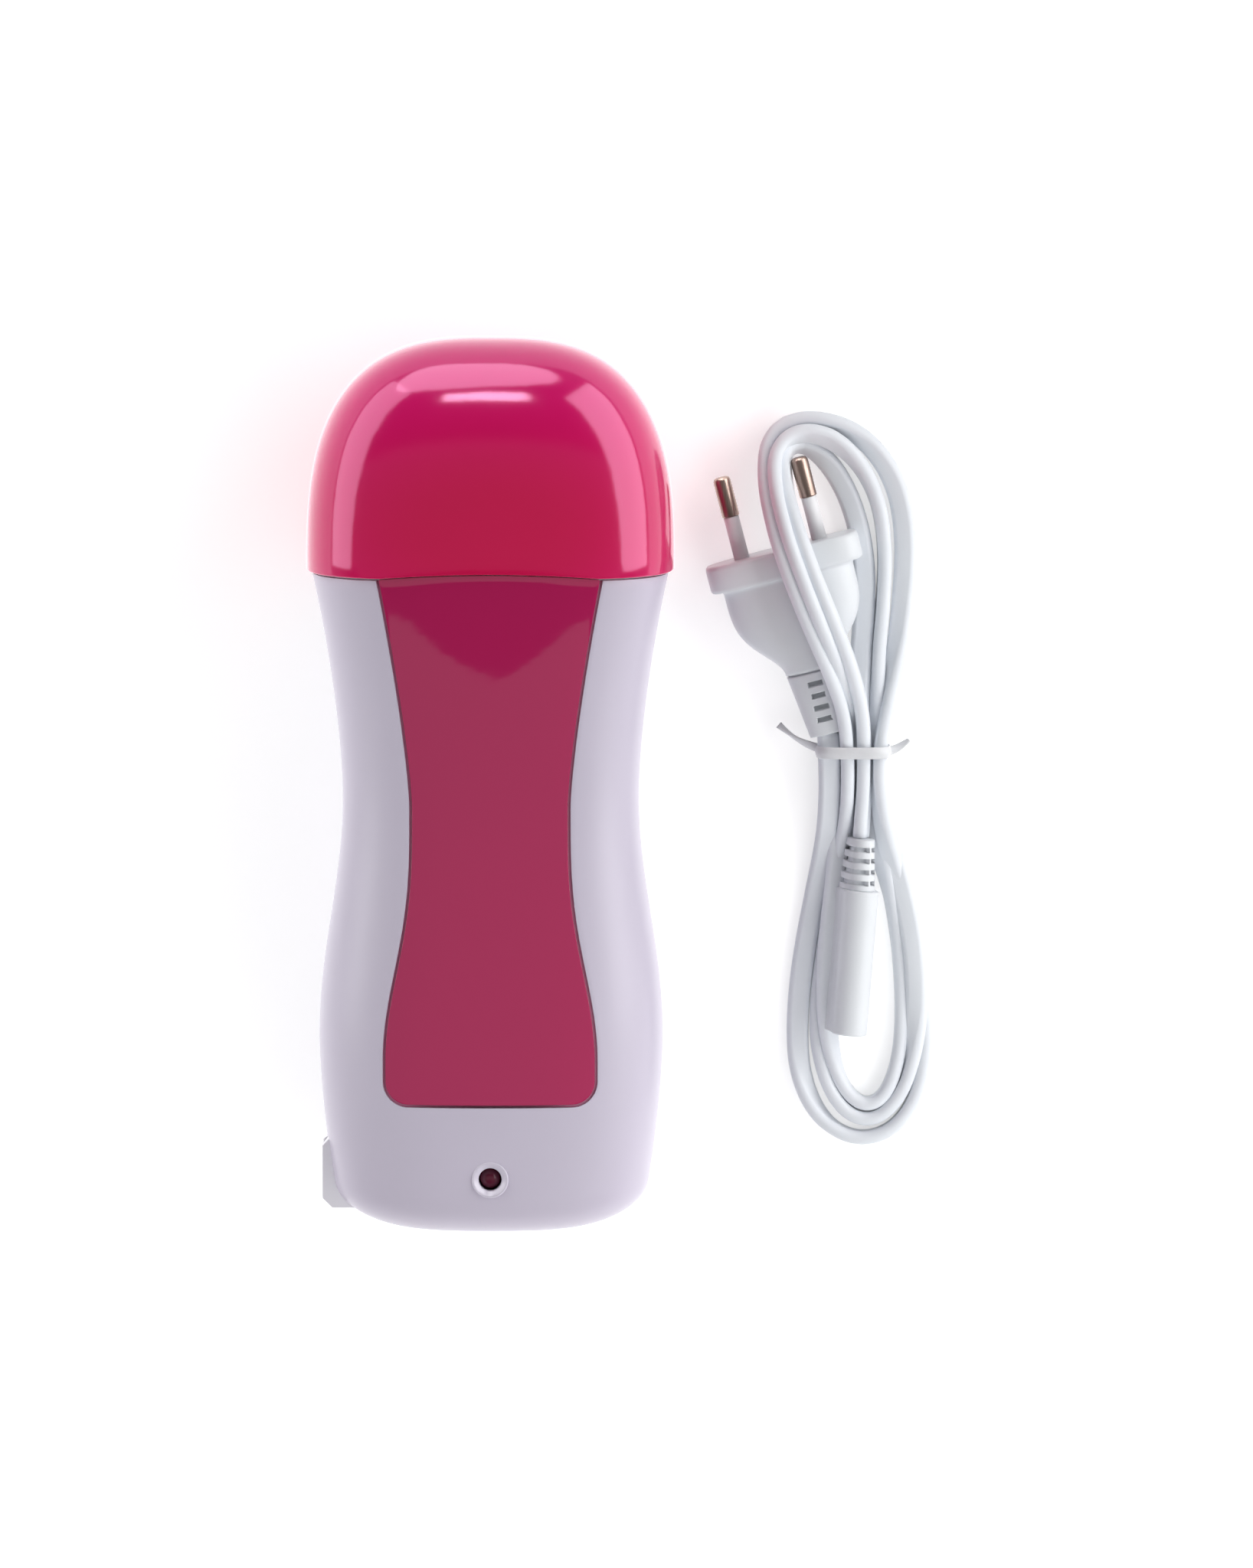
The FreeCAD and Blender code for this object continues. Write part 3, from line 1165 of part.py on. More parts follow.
doc.recompute()
for item in doc.Objects:
    if "Invalid" in item.State or "Error" in item.State:
        raise RuntimeError("%s did not recompute: %s" % (item.Name, item.State))
for piece in nodes:
    if piece.Shape.isNull() or not piece.Shape.isValid() or not piece.Shape.Solids:
        raise RuntimeError("%s has no valid solid" % piece.Label)

os.makedirs("parts", exist_ok=True)
for piece in nodes:
    piece.Shape.exportStep("parts/%s.step" % piece.Label)
    print("%-24s %d solid(s) %9.1f mm3" % (piece.Label, len(piece.Shape.Solids), piece.Shape.Volume))
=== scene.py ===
# %% [markdown]
# # A roll-on wax heater with its mains lead
#
# The heater is a hand-held plastic case with a pull-off cap, lying on its back. Its lead lies
# beside it, tied in a hank. A fixed frame holds every sub-part in its true place, in metres. This
# lesson dresses that frame: visible pieces are made again as smooth surfaces, and each gets a
# finish. The frame is loaded first. The frame is loaded first, and its box is kept, because nothing
# may grow out of it.

# %% Load the frame
import bmesh
import bpy
import numpy as np
from mathutils import Matrix, Vector


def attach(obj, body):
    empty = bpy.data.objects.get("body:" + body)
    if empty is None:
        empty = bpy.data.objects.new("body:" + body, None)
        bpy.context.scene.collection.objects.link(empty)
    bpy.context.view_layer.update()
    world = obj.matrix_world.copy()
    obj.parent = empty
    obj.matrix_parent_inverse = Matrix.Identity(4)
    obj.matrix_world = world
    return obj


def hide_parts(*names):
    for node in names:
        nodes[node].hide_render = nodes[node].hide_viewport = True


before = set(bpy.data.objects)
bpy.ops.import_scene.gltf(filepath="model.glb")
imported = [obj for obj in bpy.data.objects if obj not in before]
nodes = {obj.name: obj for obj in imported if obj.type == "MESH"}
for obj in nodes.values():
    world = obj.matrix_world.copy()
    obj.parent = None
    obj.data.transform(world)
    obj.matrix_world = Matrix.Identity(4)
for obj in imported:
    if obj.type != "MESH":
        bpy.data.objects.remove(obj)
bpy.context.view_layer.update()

# %% [markdown]
# ## The camera
#
# A product picture is usually taken from far away with a long lens, so that nothing is distorted.
# Here the camera stands nearly straight above the heater, 7 degrees over towards the cap. It could
# be aimed with a constraint. Its matrix is written out instead, because the three directions of a
# camera (right, up and back) are its three columns, which is worth seeing once.

# %% Camera
MM = 0.001
TIP = np.radians(7.0)
AIM = np.array([30.4, -0.6, 25.0])
LENS, SENSOR, VIEW_HEIGHT = 250.0, 36.0, 351.6

right = np.array([1.0, 0.0, 0.0])
up = np.array([0.0, np.cos(TIP), -np.sin(TIP)])
back = np.cross(right, up)
place = AIM + back * VIEW_HEIGHT * LENS / SENSOR

camera = bpy.data.objects.new("camera", bpy.data.cameras.new("camera"))
bpy.context.scene.collection.objects.link(camera)
camera.data.lens = LENS
camera.data.sensor_width = SENSOR
camera.data.clip_end = 100.0
columns = np.eye(4)
columns[:3, 0], columns[:3, 1], columns[:3, 2], columns[:3, 3] = right, up, back, place * MM
camera.matrix_world = Matrix(columns.tolist())
bpy.context.scene.camera = camera
print("camera at", np.round(place * MM, 3))

# %% [markdown]
# ## Surfaces from numbers
#
# Almost every moulded piece here is a sheet that two numbers run over: one along the piece, the
# other across it or round it. Such a sheet could be pushed into shape by hand, or cut from a cube.
# It is worked out as a grid of points instead, all rows at once, so that it follows its formula
# exactly and can be made finer by changing one number.

# %% From a grid of points to a mesh
WELD, SLIVER = 2e-6, 1e-7


def grid_faces(rows, columns, closed=False):
    """Corner numbers of the quads between neighbouring rows and columns. Closed joins the last
    column to the first."""
    spans = columns if closed else columns - 1
    row, column = np.meshgrid(np.arange(rows - 1), np.arange(spans), indexing="ij")
    here, after = row * columns + column, row * columns + (column + 1) % columns
    return np.stack([here, after, after + columns, here + columns], axis=-1).reshape(-1, 4)


def merged(grids, closed=False):
    """Points and faces of several grids as one: the corner numbers of each grid are moved on by
    the number of points before it."""
    starts = np.cumsum([0] + [grid.shape[0] * grid.shape[1] for grid in grids])
    faces = [grid_faces(*grid.shape[:2], closed) + start for grid, start in zip(grids, starts)]
    return np.concatenate([grid.reshape(-1, 3) for grid in grids]), np.concatenate(faces)


def mesh_object(name, points, faces):
    """A mesh from points in millimetres and faces, welded where points meet, with its faces
    turned outwards."""
    mesh = bpy.data.meshes.new(name)
    mesh.from_pydata((np.asarray(points) * MM).tolist(), [], np.asarray(faces).tolist())
    body = bmesh.new()
    body.from_mesh(mesh)
    bmesh.ops.remove_doubles(body, verts=body.verts, dist=WELD)
    bmesh.ops.dissolve_degenerate(body, edges=body.edges, dist=SLIVER)
    bmesh.ops.recalc_face_normals(body, faces=body.faces)
    body.to_mesh(mesh)
    body.free()
    mesh.polygons.foreach_set("use_smooth", np.ones(len(mesh.polygons), bool))
    piece = bpy.data.objects.new(name, mesh)
    bpy.context.scene.collection.objects.link(piece)
    return piece


def sheet_object(name, *grids, closed=False):
    """One mesh from one or more grids of points: rows, columns, xyz in millimetres."""
    return mesh_object(name, *merged(grids, closed))


print("a grid of 3 rows and 4 columns: %d faces, or %d when it is closed"
      % (len(grid_faces(3, 4)), len(grid_faces(3, 4, closed=True))))

# %% [markdown]
# A sheet has no thickness and its rims are knife edges, while a moulding has a wall and its edges
# are a little round. Both could be modelled point by point. Two modifiers do it here, because they
# keep the sheet's own formula untouched. Then each piece is told which body of the frame it moves
# with, and which sub-parts it stands for.

# %% Walls, soft edges and places
def face_out(piece, point):
    """Turns an open sheet so that its faces look away from a point in millimetres: the normals,
    each times the way from the point to its face, have to add up to more than nothing."""
    mesh = piece.data
    count = len(mesh.polygons) * 3
    centres, normals = np.empty(count), np.empty(count)
    mesh.polygons.foreach_get("center", centres)
    mesh.polygons.foreach_get("normal", normals)
    if ((centres.reshape(-1, 3) - np.array(point) * MM) * normals.reshape(-1, 3)).sum() < 0:
        mesh.flip_normals()


def wall(piece, thickness):
    """Gives an open sheet its wall, inwards, with a rim round every opening."""
    solidify = piece.modifiers.new("wall", "SOLIDIFY")
    solidify.thickness = thickness * MM
    solidify.offset = -1
    solidify.use_even_offset = True


def soften(piece, width, segments=2):
    """Rounds every edge sharper than 35 degrees, as a mould does."""
    bevel = piece.modifiers.new("edges", "BEVEL")
    bevel.width = width * MM
    bevel.segments = segments
    bevel.limit_method = "ANGLE"
    bevel.angle_limit = np.radians(35.0)
    bevel.use_clamp_overlap = True


def dress(piece, body, *replaced, slot):
    """The piece moves with a body and stands for CAD nodes. The slot argument is not used."""
    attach(piece, body)
    if replaced:
        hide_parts(*replaced)
    print("%s: %d faces" % (piece.name, len(piece.data.polygons)))
    return piece


# %% [markdown]
# ## The cord
#
# The lead is a flat two-core cord, 5 by 3.2 mm and about 1.1 m long. It is folded in three turns
# and tied in the middle, so it passes seven times through the tie. A cord could be a bevelled
# curve, but a curve's bevel is round and turns as it likes. So the route is a smooth NURBS line,
# its points are read back, and a flat profile is carried along them. A roll angle says how far the
# flat cord is tipped up on its edge at each point.

# %% The route of the cord, in millimetres, with the roll in degrees
LOWER_OUTER = [
    (75.9, 8.8, 6.85, 5), (76.1, 4.0, 6.6, 8), (76.3, -5.0, 5.8, 8), (75.8, -15.0, 3.6, 5),
    (73.3, -28.0, 1.8, 0), (70.4, -43.0, 1.8, 0), (69.0, -57.0, 1.8, 5), (69.6, -70.0, 2.3, 45),
    (74.4, -80.2, 2.6, 85), (82.5, -84.9, 2.6, 90), (91.2, -82.6, 2.6, 90), (97.0, -73.6, 2.6, 85),
    (98.5, -60.6, 2.3, 60), (96.4, -46.0, 1.9, 15), (93.6, -33.0, 2.0, 10), (90.6, -22.0, 3.4, 30),
    (88.2, -12.0, 5.8, 60), (87.4, -4.0, 6.8, 80)]
UPPER_OUTER = [
    (87.4, 4.0, 6.6, 85), (89.0, 14.0, 4.2, 65), (91.5, 27.0, 2.2, 25), (93.0, 40.0, 1.8, 10),
    (93.5, 53.0, 1.8, 10), (91.6, 64.4, 1.9, 15), (86.0, 73.6, 2.2, 35), (77.4, 79.2, 2.6, 70),
    (67.8, 80.0, 2.8, 88), (61.9, 75.4, 4.4, 85), (61.3, 66.4, 9.0, 80), (63.4, 56.0, 15.2, 80),
    (66.8, 45.5, 17.3, 85), (71.2, 34.5, 17.0, 85), (75.8, 24.0, 14.2, 85), (79.6, 14.0, 10.2, 80),
    (80.4, 4.0, 7.0, 85)]
LOWER_MIDDLE = [
    (80.5, -5.0, 6.8, 80), (80.2, -15.0, 4.0, 40), (78.0, -27.0, 1.8, 5), (75.9, -40.0, 1.8, 0),
    (74.2, -54.0, 1.9, 10), (74.4, -66.0, 2.4, 60), (78.0, -76.4, 2.6, 85), (84.2, -80.6, 2.6, 90),
    (90.4, -78.0, 2.6, 90), (94.9, -69.0, 2.8, 70), (96.4, -55.0, 4.6, 15), (95.6, -40.0, 5.0, 5),
    (92.6, -26.0, 3.6, 5), (88.6, -13.0, 2.7, 5), (86.8, -4.0, 2.6, 0)]
UPPER_MIDDLE = [
    (86.8, 4.0, 2.6, 10), (86.7, 14.0, 2.6, 60), (87.3, 27.0, 2.6, 85), (88.5, 40.0, 2.6, 85),
    (88.7, 52.0, 2.6, 85), (86.9, 62.2, 2.8, 80), (82.2, 70.8, 3.6, 60), (75.6, 76.0, 5.0, 30),
    (68.6, 76.9, 5.4, 50), (63.9, 73.0, 7.2, 80), (63.8, 65.6, 11.8, 80), (66.0, 56.0, 16.9, 85),
    (69.6, 45.5, 18.4, 90), (74.0, 34.5, 17.8, 90), (78.6, 23.5, 13.2, 85), (81.8, 14.0, 6.6, 60),
    (79.8, 4.0, 2.9, 15)]
LOWER_INNER = [
    (78.7, -4.0, 2.6, 0), (78.6, -14.0, 3.2, 5), (77.8, -26.0, 4.6, 5), (76.3, -38.0, 4.9, 3),
    (75.7, -50.0, 4.6, 10), (76.2, -62.0, 3.4, 45), (79.2, -72.6, 2.6, 85), (84.4, -77.2, 2.6, 90),
    (89.4, -74.6, 2.6, 90), (92.5, -65.0, 2.6, 90), (92.9, -52.0, 2.6, 88), (91.9, -38.0, 2.6, 85),
    (89.8, -25.0, 2.7, 70), (85.6, -13.0, 2.7, 20), (82.7, -4.0, 2.6, 0)]
UPPER_INNER = [
    (82.5, 4.0, 2.6, 0), (82.8, 14.0, 2.4, 5), (83.3, 26.0, 2.1, 5), (84.2, 37.0, 1.8, 5),
    (84.1, 47.0, 1.8, 8), (82.6, 56.0, 1.8, 8), (79.6, 64.2, 1.8, 8), (75.2, 70.8, 1.8, 15),
    (69.9, 74.3, 2.2, 45), (65.8, 72.2, 4.4, 75), (66.1, 64.6, 9.4, 80), (68.9, 55.6, 15.4, 85),
    (72.6, 45.5, 17.2, 85), (77.0, 35.0, 16.8, 85), (81.0, 24.5, 13.6, 85), (83.7, 14.0, 9.4, 85),
    (84.1, 4.0, 7.0, 85), (84.1, -5.0, 6.7, 80), (83.7, -10.5, 6.7, 72), (83.4, -14.9, 6.68, 70)]
ROUTE = np.array(LOWER_OUTER + UPPER_OUTER + LOWER_MIDDLE + UPPER_MIDDLE
                 + LOWER_INNER + UPPER_INNER)
print("route: %d control points" % len(ROUTE))

# %% [markdown]
# The control points pull a line rather than lie on it, so the line is smooth whatever they are.
# Blender works it out, and it is read back as points. Points that nearly coincide are left out,
# and no point may be so low that the cord would sink into the table, however it is rolled.

# %% A smooth line along the route
CORD_WIDTH, CORD_THICK = 5.0, 3.2
CLEAR, LEAST_STEP = 0.05, 0.05


def line_points(name, controls, resolution=8):
    """Points of the smooth line that the control points pull: a NURBS curve of order 3."""
    curve = bpy.data.curves.new(name, "CURVE")
    curve.dimensions = "3D"
    spline = curve.splines.new("NURBS")
    spline.points.add(len(controls) - 1)
    weighted = np.column_stack([controls * MM, np.ones(len(controls))])
    spline.points.foreach_set("co", weighted.ravel())
    spline.order_u = 3
    spline.use_endpoint_u = True
    spline.resolution_u = resolution
    holder = bpy.data.objects.new(name, curve)
    bpy.context.scene.collection.objects.link(holder)
    mesh = bpy.data.meshes.new_from_object(holder)
    points = np.empty(len(mesh.vertices) * 3)
    mesh.vertices.foreach_get("co", points)
    bpy.data.objects.remove(holder)
    bpy.data.meshes.remove(mesh)
    return points.reshape(-1, 3) / MM


def steps(points):
    """How far each point of a line is from the one before it."""
    return np.linalg.norm(np.diff(points, axis=0), axis=1)


def thinned(points, least):
    """The line without the points that are nearer than the least step to the one before."""
    return points[np.append(True, steps(points) > least)]


def run_along(points):
    """The length run at each point of a line: the sum of the steps up to it."""
    return np.append(0, np.cumsum(steps(points)))


line = thinned(line_points("cord route", ROUTE[:, :3]), LEAST_STEP)
roll = np.interp(np.linspace(0, len(ROUTE) - 1, len(line)), np.arange(len(ROUTE)), ROUTE[:, 3])
on_edge = np.abs(np.sin(np.radians(roll)))
half_high = CORD_THICK / 2 + (CORD_WIDTH - CORD_THICK) / 2 * on_edge
line[:, 2] = np.maximum(line[:, 2], half_high + CLEAR)

# %% [markdown]
# The profile is two cores side by side under one skin: a flat oval with a shallow valley along
# each broad face. At every ring the cord's own across and up directions are found from the line's
# direction, and the profile is laid on them.

# %% Carry the profile along the route
VALLEY = 0.3


def once_round(count):
    """Even angles once round, in radians, without the last one, which is the first again."""
    return np.linspace(0, 2 * np.pi, count, endpoint=False)


def flat_profile(width, thick, valley, count=24):
    """Outline of a flat cord: a circle pushed apart sideways by a steep step, which leaves half
    circles at both ends of two flats, the flats pulled in by the valley times a cosine bell."""
    turn = once_round(count)
    radius = thick / 2
    reach = width / 2 - radius
    x = radius * np.cos(turn) + reach * np.tanh(6 * np.cos(turn))
    z = radius * np.sin(turn)
    bell = np.cos(np.clip(x / reach, -1, 1) * np.pi / 2) ** 2
    return x, z - valley * bell * np.sign(z)


def unit(vectors):
    """Each vector divided by its own length."""
    return vectors / np.linalg.norm(vectors, axis=-1, keepdims=True)


def carried(points, roll, x, z):
    """A grid of rings along a line that is never steep. Across is square to the line and level,
    and above is square to both. Each ring is its point, plus the profile's x along the rolled
    across direction and its z along the rolled above direction."""
    forward = unit(np.gradient(points, axis=0))
    across = unit(np.cross(forward, [0.0, 0.0, 1.0]))
    above = np.cross(across, forward)
    roll = np.radians(roll)[:, None]
    wide = across * np.cos(roll) + above * np.sin(roll)
    thick = above * np.cos(roll) - across * np.sin(roll)
    return points[:, None] + wide[:, None] * x[:, None] + thick[:, None] * z[:, None]


def capped(grid):
    """The grid with a last ring at each end drawn in to its middle, which closes the tube."""
    first, last = (np.broadcast_to(end.mean(axis=1, keepdims=True), end.shape)
                   for end in (grid[:1], grid[-1:]))
    return np.concatenate([first, grid, last])


cord_rings = carried(line, roll, *flat_profile(CORD_WIDTH, CORD_THICK, VALLEY))
cord = sheet_object("flat_cord", capped(cord_rings), closed=True)
dress(cord, "mains_lead", "cord_hank", slot="cord_pvc")

# %% [markdown]
# ## The shape of the case
#
# Seen from the front, the case has hips, a waist and shoulders; seen from the side it swells a
# little. Both are the same kind of curve with other numbers. A slice across it is a soft
# rectangle: four Bezier quarters through the two sides, the front and the back. A quarter's
# handles reach a share of the way to the corner: 0.55 is an ellipse, 1 a sharp corner. The case
# could be sculpted, but with formulas the window and the lamp can ask for its height anywhere.

# %% Formulas of the case
FOOT, HEEL, HIP, WAIST, SHOULDER, BRIM, CROWN = -100.0, -90.0, -57.0, -3.0, 47.5, 48.0, 100.0
PARTING = 25.0
FLARE = 1.65
FRONT_SQUARE, BACK_SQUARE = 0.74, 0.78
LEFT_HAND = np.array([-1.0, 1.0, 1.0])


def brim_share(y):
    """The share of the way from the waist up to the brim, and nothing below the waist."""
    return np.clip(y - WAIST, 0, None) / (BRIM - WAIST)


def swell(y, heel, hip, waist, shoulder):
    """A size at height y: a power curve from the waist up and from the hip down, and half a cosine
    wave between hip and waist."""
    above = waist + (shoulder - waist) * brim_share(y) ** FLARE
    between = (hip + waist) / 2 + (hip - waist) / 2 * np.cos(np.pi * (y - HIP) / (WAIST - HIP))
    below = hip - (hip - heel) * (np.clip(HIP - y, 0, None) / (HIP - HEEL)) ** FLARE
    return np.where(y >= WAIST, above, np.where(y >= HIP, between, below))


def heel_drop(y, reach):
    """How far the rounded heel pulls a side in: a quarter ellipse from the heel to the foot."""
    deep = np.clip((HEEL - y) / (HEEL - FOOT), 0, 1)
    return reach * (1 - np.sqrt(1 - deep ** 2))


def half_width(y):
    """Half of the swell of the width, less the heel's rounding."""
    return swell(y, 70.8, 77.2, 66.4, 80.0) / 2 - heel_drop(y, 18.0)


def front_height(y):
    """The swell of the front face's middle line, less the heel's rounding."""
    return swell(y, 49.6, 51.0, 46.5, 50.5) - heel_drop(y, 12.0)


def back_height(y):
    """The back's middle line: just under the table, rising with the square of the share towards
    the brim, plus the heel's rounding."""
    return -0.4 + 2.0 * brim_share(y) ** 2 + heel_drop(y, 8.0)


FRONT, BACK = (front_height, FRONT_SQUARE), (back_height, BACK_SQUARE)
widths = tuple(2 * half_width(np.array([HIP, WAIST, SHOULDER])))
print("case: hips %.1f, waist %.1f, shoulder %.1f mm wide" % widths)

# %% Formulas of a slice
TABLE = np.linspace(0, 1, 2001)


def quarter(t, square):
    """A Bezier quarter as shares of its width and height: t runs from the side (1, 0) to the
    middle (0, 1), and the handles end at (1, square) and (square, 1)."""
    s = 1 - t
    wide = s ** 3 + 3 * s * s * t + 3 * square * s * t * t
    high = 3 * square * s * s * t + 3 * s * t * t + t ** 3
    return wide, high


def share_at(x_share, square):
    """The t at which a quarter has this share of its width, read from a fine table."""
    wide = quarter(TABLE, square)[0]
    return np.interp(x_share, wide[::-1], TABLE[::-1])


def height_for(high, y, face_height):
    """From the parting plane, the quarter's share of the way to a face, but never below the
    table."""
    return np.maximum(PARTING + (face_height(y) - PARTING) * high, 0)


def skin(t, y, face_height, square):
    """Points of one half of the case on its right side: the quarter's width share of the half
    width, and the height for its height share."""
    wide, high = quarter(t, square)
    grids = np.broadcast_arrays(half_width(y) * wide, y, height_for(high, y, face_height))
    return np.stack(grids, axis=-1)


def front_over(x, y):
    """Height of the front face over a point (x, y)."""
    t = share_at(np.abs(x) / half_width(y), FRONT_SQUARE)
    return height_for(quarter(t, FRONT_SQUARE)[1], y, front_height)


def back_over(x, y):
    """Height of the back face over a point (x, y)."""
    t = share_at(np.abs(x) / half_width(y), BACK_SQUARE)
    return height_for(quarter(t, BACK_SQUARE)[1], y, back_height)


print("case: %.1f mm thick at the hips" % (front_over(0.0, HIP) - back_over(0.0, HIP)))

# %% [markdown]
# The window's outline is widest at the brim and near its lower end, with two round corners. The
# case's opening is the same outline, 0.7 mm larger.

# %% Formulas of the window
WINDOW_LOW, WINDOW_END, CORNER, GAP = -60.0, -69.6, 5.0, 0.7
AT_WAIST, AT_BRIM, AT_LOW = 17.3, 24.6, 23.3
STRAIGHT_ROWS, CORNER_ROWS = 64, 12


def window_side(y):
    """Half the window's width: a power curve above the waist, a slow cosine swell below it."""
    above = AT_WAIST + (AT_BRIM - AT_WAIST) * brim_share(y) ** 1.35
    low = np.clip((WAIST - y) / (WAIST - WINDOW_LOW), 0, 1)
    below = AT_WAIST + (AT_LOW - AT_WAIST) * ((1 - np.cos(np.pi * low)) / 2) ** 1.8
    return np.where(y >= WAIST, above, below)


def window_rows(grow, top):
    """Heights and half widths down the window's edge: straight rows, then even steps round the
    corner's quarter circle."""
    radius = CORNER + grow
    start = WINDOW_END - grow + radius
    y = np.linspace(top, start, STRAIGHT_ROWS)
    side = window_side(y) + grow
    turn = np.linspace(0, np.pi / 2, CORNER_ROWS + 1)[1:]
    return (np.append(y, start - radius * np.sin(turn)),
            np.append(side, side[-1] - radius * (1 - np.cos(turn))))


print("window: waist %.1f, brim %.1f mm wide" % tuple(2 * window_side(np.array([WAIST, BRIM]))))

# %% [markdown]
# ## The front of the case
#
# The front half is satin ABS, pale lilac grey, moulded with a 2.2 mm wall. Cutting the window out
# of a finished mesh would leave ragged shading, so the sheet is laid out round the opening. Rows
# run from the shoulder down, and each ends at the window's edge. Below the window the rows go all
# the way across, down to the foot, which is closed by rings drawn in to its middle.

# %% Sheet of the front half
CASE_WALL, CASE_EDGE = 2.2, 0.3
SIDE_COLUMNS, FLOOR_COLUMNS, FLOOR_ROWS, HEEL_ROWS, FOOT_RINGS = 44, 22, 22, 14, 8


def mirrored(grid):
    """The grid together with its mirror image in x, joined along its last column."""
    return np.concatenate([grid, grid[:, -2::-1] * LEFT_HAND], axis=1)


def heel_rows():
    """Heights down to the foot: even steps round the heel's quarter ellipse."""
    turn = np.linspace(0, np.pi / 2, HEEL_ROWS + 1)[1:]
    return HEEL - (HEEL - FOOT) * np.sin(turn)


def closed_foot(grid):
    """Rings added to the last row, drawn in evenly to the middle of the flat foot."""
    shrink = np.linspace(1, 0, FOOT_RINGS + 1)[1:, None, None]
    middle = np.array([0.0, FOOT, PARTING])
    return np.concatenate([grid, middle + (grid[-1] - middle) * shrink])


# The columns are spaced for an edge that never comes nearer to the middle than where its corner
# starts. Only the last ones, by the cube of their share, bend in to the true edge.
edge_y, edge_x = window_rows(GAP, SHOULDER)
edge_t = share_at(edge_x / half_width(edge_y), FRONT_SQUARE)
outer_x = np.maximum(edge_x, edge_x[STRAIGHT_ROWS - 1])
outer_t = share_at(outer_x / half_width(edge_y), FRONT_SQUARE)
share = np.linspace(0, 1, SIDE_COLUMNS) ** 1.15
strip_t = share * outer_t[:, None] + share ** 3 * (edge_t - outer_t)[:, None]
strip = skin(strip_t, edge_y[:, None], *FRONT)

floor_y = np.append(np.linspace(edge_y[-1], HEEL, FLOOR_ROWS), heel_rows())
floor_t = np.append(strip_t[-1], np.linspace(strip_t[-1, -1], 1, FLOOR_COLUMNS + 1)[1:])
floor_sheet = closed_foot(mirrored(skin(floor_t, floor_y[:, None], *FRONT)))
front = merged([strip, strip * LEFT_HAND, floor_sheet])
print("front half: %d points" % len(front[0]))

# %% [markdown]
# The lamp and the inlet sit in holes. A boolean cut would leave long thin faces round them that
# shade badly. Instead, the faces inside a hole are left out, and the edge that remains is drawn
# onto a neat outline: a circle for the lamp, a rectangle for the inlet.

# %% Holes in the front half
LAMP, LAMP_HOLE, LAMP_REACH = np.array([0.0, -86.5]), 3.5, 3.45
INLET, INLET_HALF = np.array([-87.6, PARTING]), np.array([7.8, 5.6])


def snapped_hole(points, faces, inside, outline):
    """Leaves out the faces whose middle is inside, and moves the hole's edge onto the outline."""
    gone = inside(points[faces].mean(axis=1))
    rim = np.intersect1d(faces[~gone], faces[gone])
    points = points.copy()
    points[rim] = outline(points[rim])
    return points, faces[~gone]


def round_hole(points, faces, centre, reach, radius, over=None):
    """A hole where faces lie within reach of an upright axis. Its edge moves straight out or in
    to the radius, and keeps its heights or takes those of over(x, y)."""
    def inside(middle):
        """Whether the length of the way from the axis is less than the reach."""
        return np.linalg.norm(middle[:, :2] - centre, axis=1) < reach

    def circle(rim):
        """The axis plus the direction from it times the radius."""
        flat = centre + unit(rim[:, :2] - centre) * radius
        return np.column_stack([flat, over(*flat.T) if over else rim[:, 2]])

    return snapped_hole(points, faces, inside, circle)


def inlet_hole(points, faces):
    """A hole in the left side. Each point of its edge moves to the nearest side of a rectangle."""
    def inside(middle):
        """Whether x is below zero and both ways off the inlet's middle are less than its halves."""
        near = np.abs(middle[:, 1:] - INLET) < INLET_HALF
        return (middle[:, 0] < 0) & near.all(axis=1)

    def rectangle(rim):
        """Of the two ways off the middle, the one that is nearer to its half is set to it."""
        away = rim[:, 1:] - INLET
        off = np.abs(np.abs(away) - INLET_HALF)
        nearest = np.stack([off[:, 0] < off[:, 1], off[:, 0] >= off[:, 1]], axis=-1)
        moved = np.where(nearest, np.sign(away) * INLET_HALF, away)
        return np.column_stack([rim[:, 0], INLET + moved])

    return snapped_hole(points, faces, inside, rectangle)


front = round_hole(*front, LAMP, LAMP_REACH, LAMP_HOLE, front_over)
front_case = mesh_object("front_case", *inlet_hole(*front))
face_out(front_case, (0, -20, 20))
wall(front_case, CASE_WALL)
soften(front_case, CASE_EDGE)
dress(front_case, "heater", "front_shell", slot="shell_plastic")

# %% [markdown]
# ## The back of the case
#
# The back half has a flat land that the heater lies on, and four deep wells with a screw at the
# bottom of each. Its sheet could be drawn apart from the front's, but the two have to meet at the
# parting line, so it uses the same widths. Wherever the formula would dip below the table, the
# height is held at zero, which makes the land.

# %% Back half
SCREWS = np.array([[-31.2, 33.5], [31.2, 33.5], [-27.0, -68.0], [27.0, -82.0]])
WELL_RADIUS, WELL_TOP, WELL_BORE = 3.05, 12.0, 1.75
BACK_ROWS, BACK_COLUMNS = 130, 64

back_y = np.append(np.linspace(SHOULDER, HEEL, BACK_ROWS), heel_rows())
back_sheet = closed_foot(mirrored(skin(np.linspace(0, 1, BACK_COLUMNS), back_y[:, None], *BACK)))
back_half = merged([back_sheet])
for screw in SCREWS:
    back_half = round_hole(*back_half, screw, WELL_RADIUS, WELL_RADIUS)
back_case = mesh_object("back_case", *inlet_hole(*back_half))
face_out(back_case, (0, -20, 30))
wall(back_case, CASE_WALL)
soften(back_case, CASE_EDGE)
dress(back_case, "heater", "back_shell", slot="shell_plastic")

# %% [markdown]
# ## Turned pieces
#
# The wells and the lamp's ring are round. They could be cylinders with loops added. Each is an
# outline of radius and height instead, carried round an axis, because an outline shows the section
# as a drawing does. The outline's corners are given with their small rounds already in them.

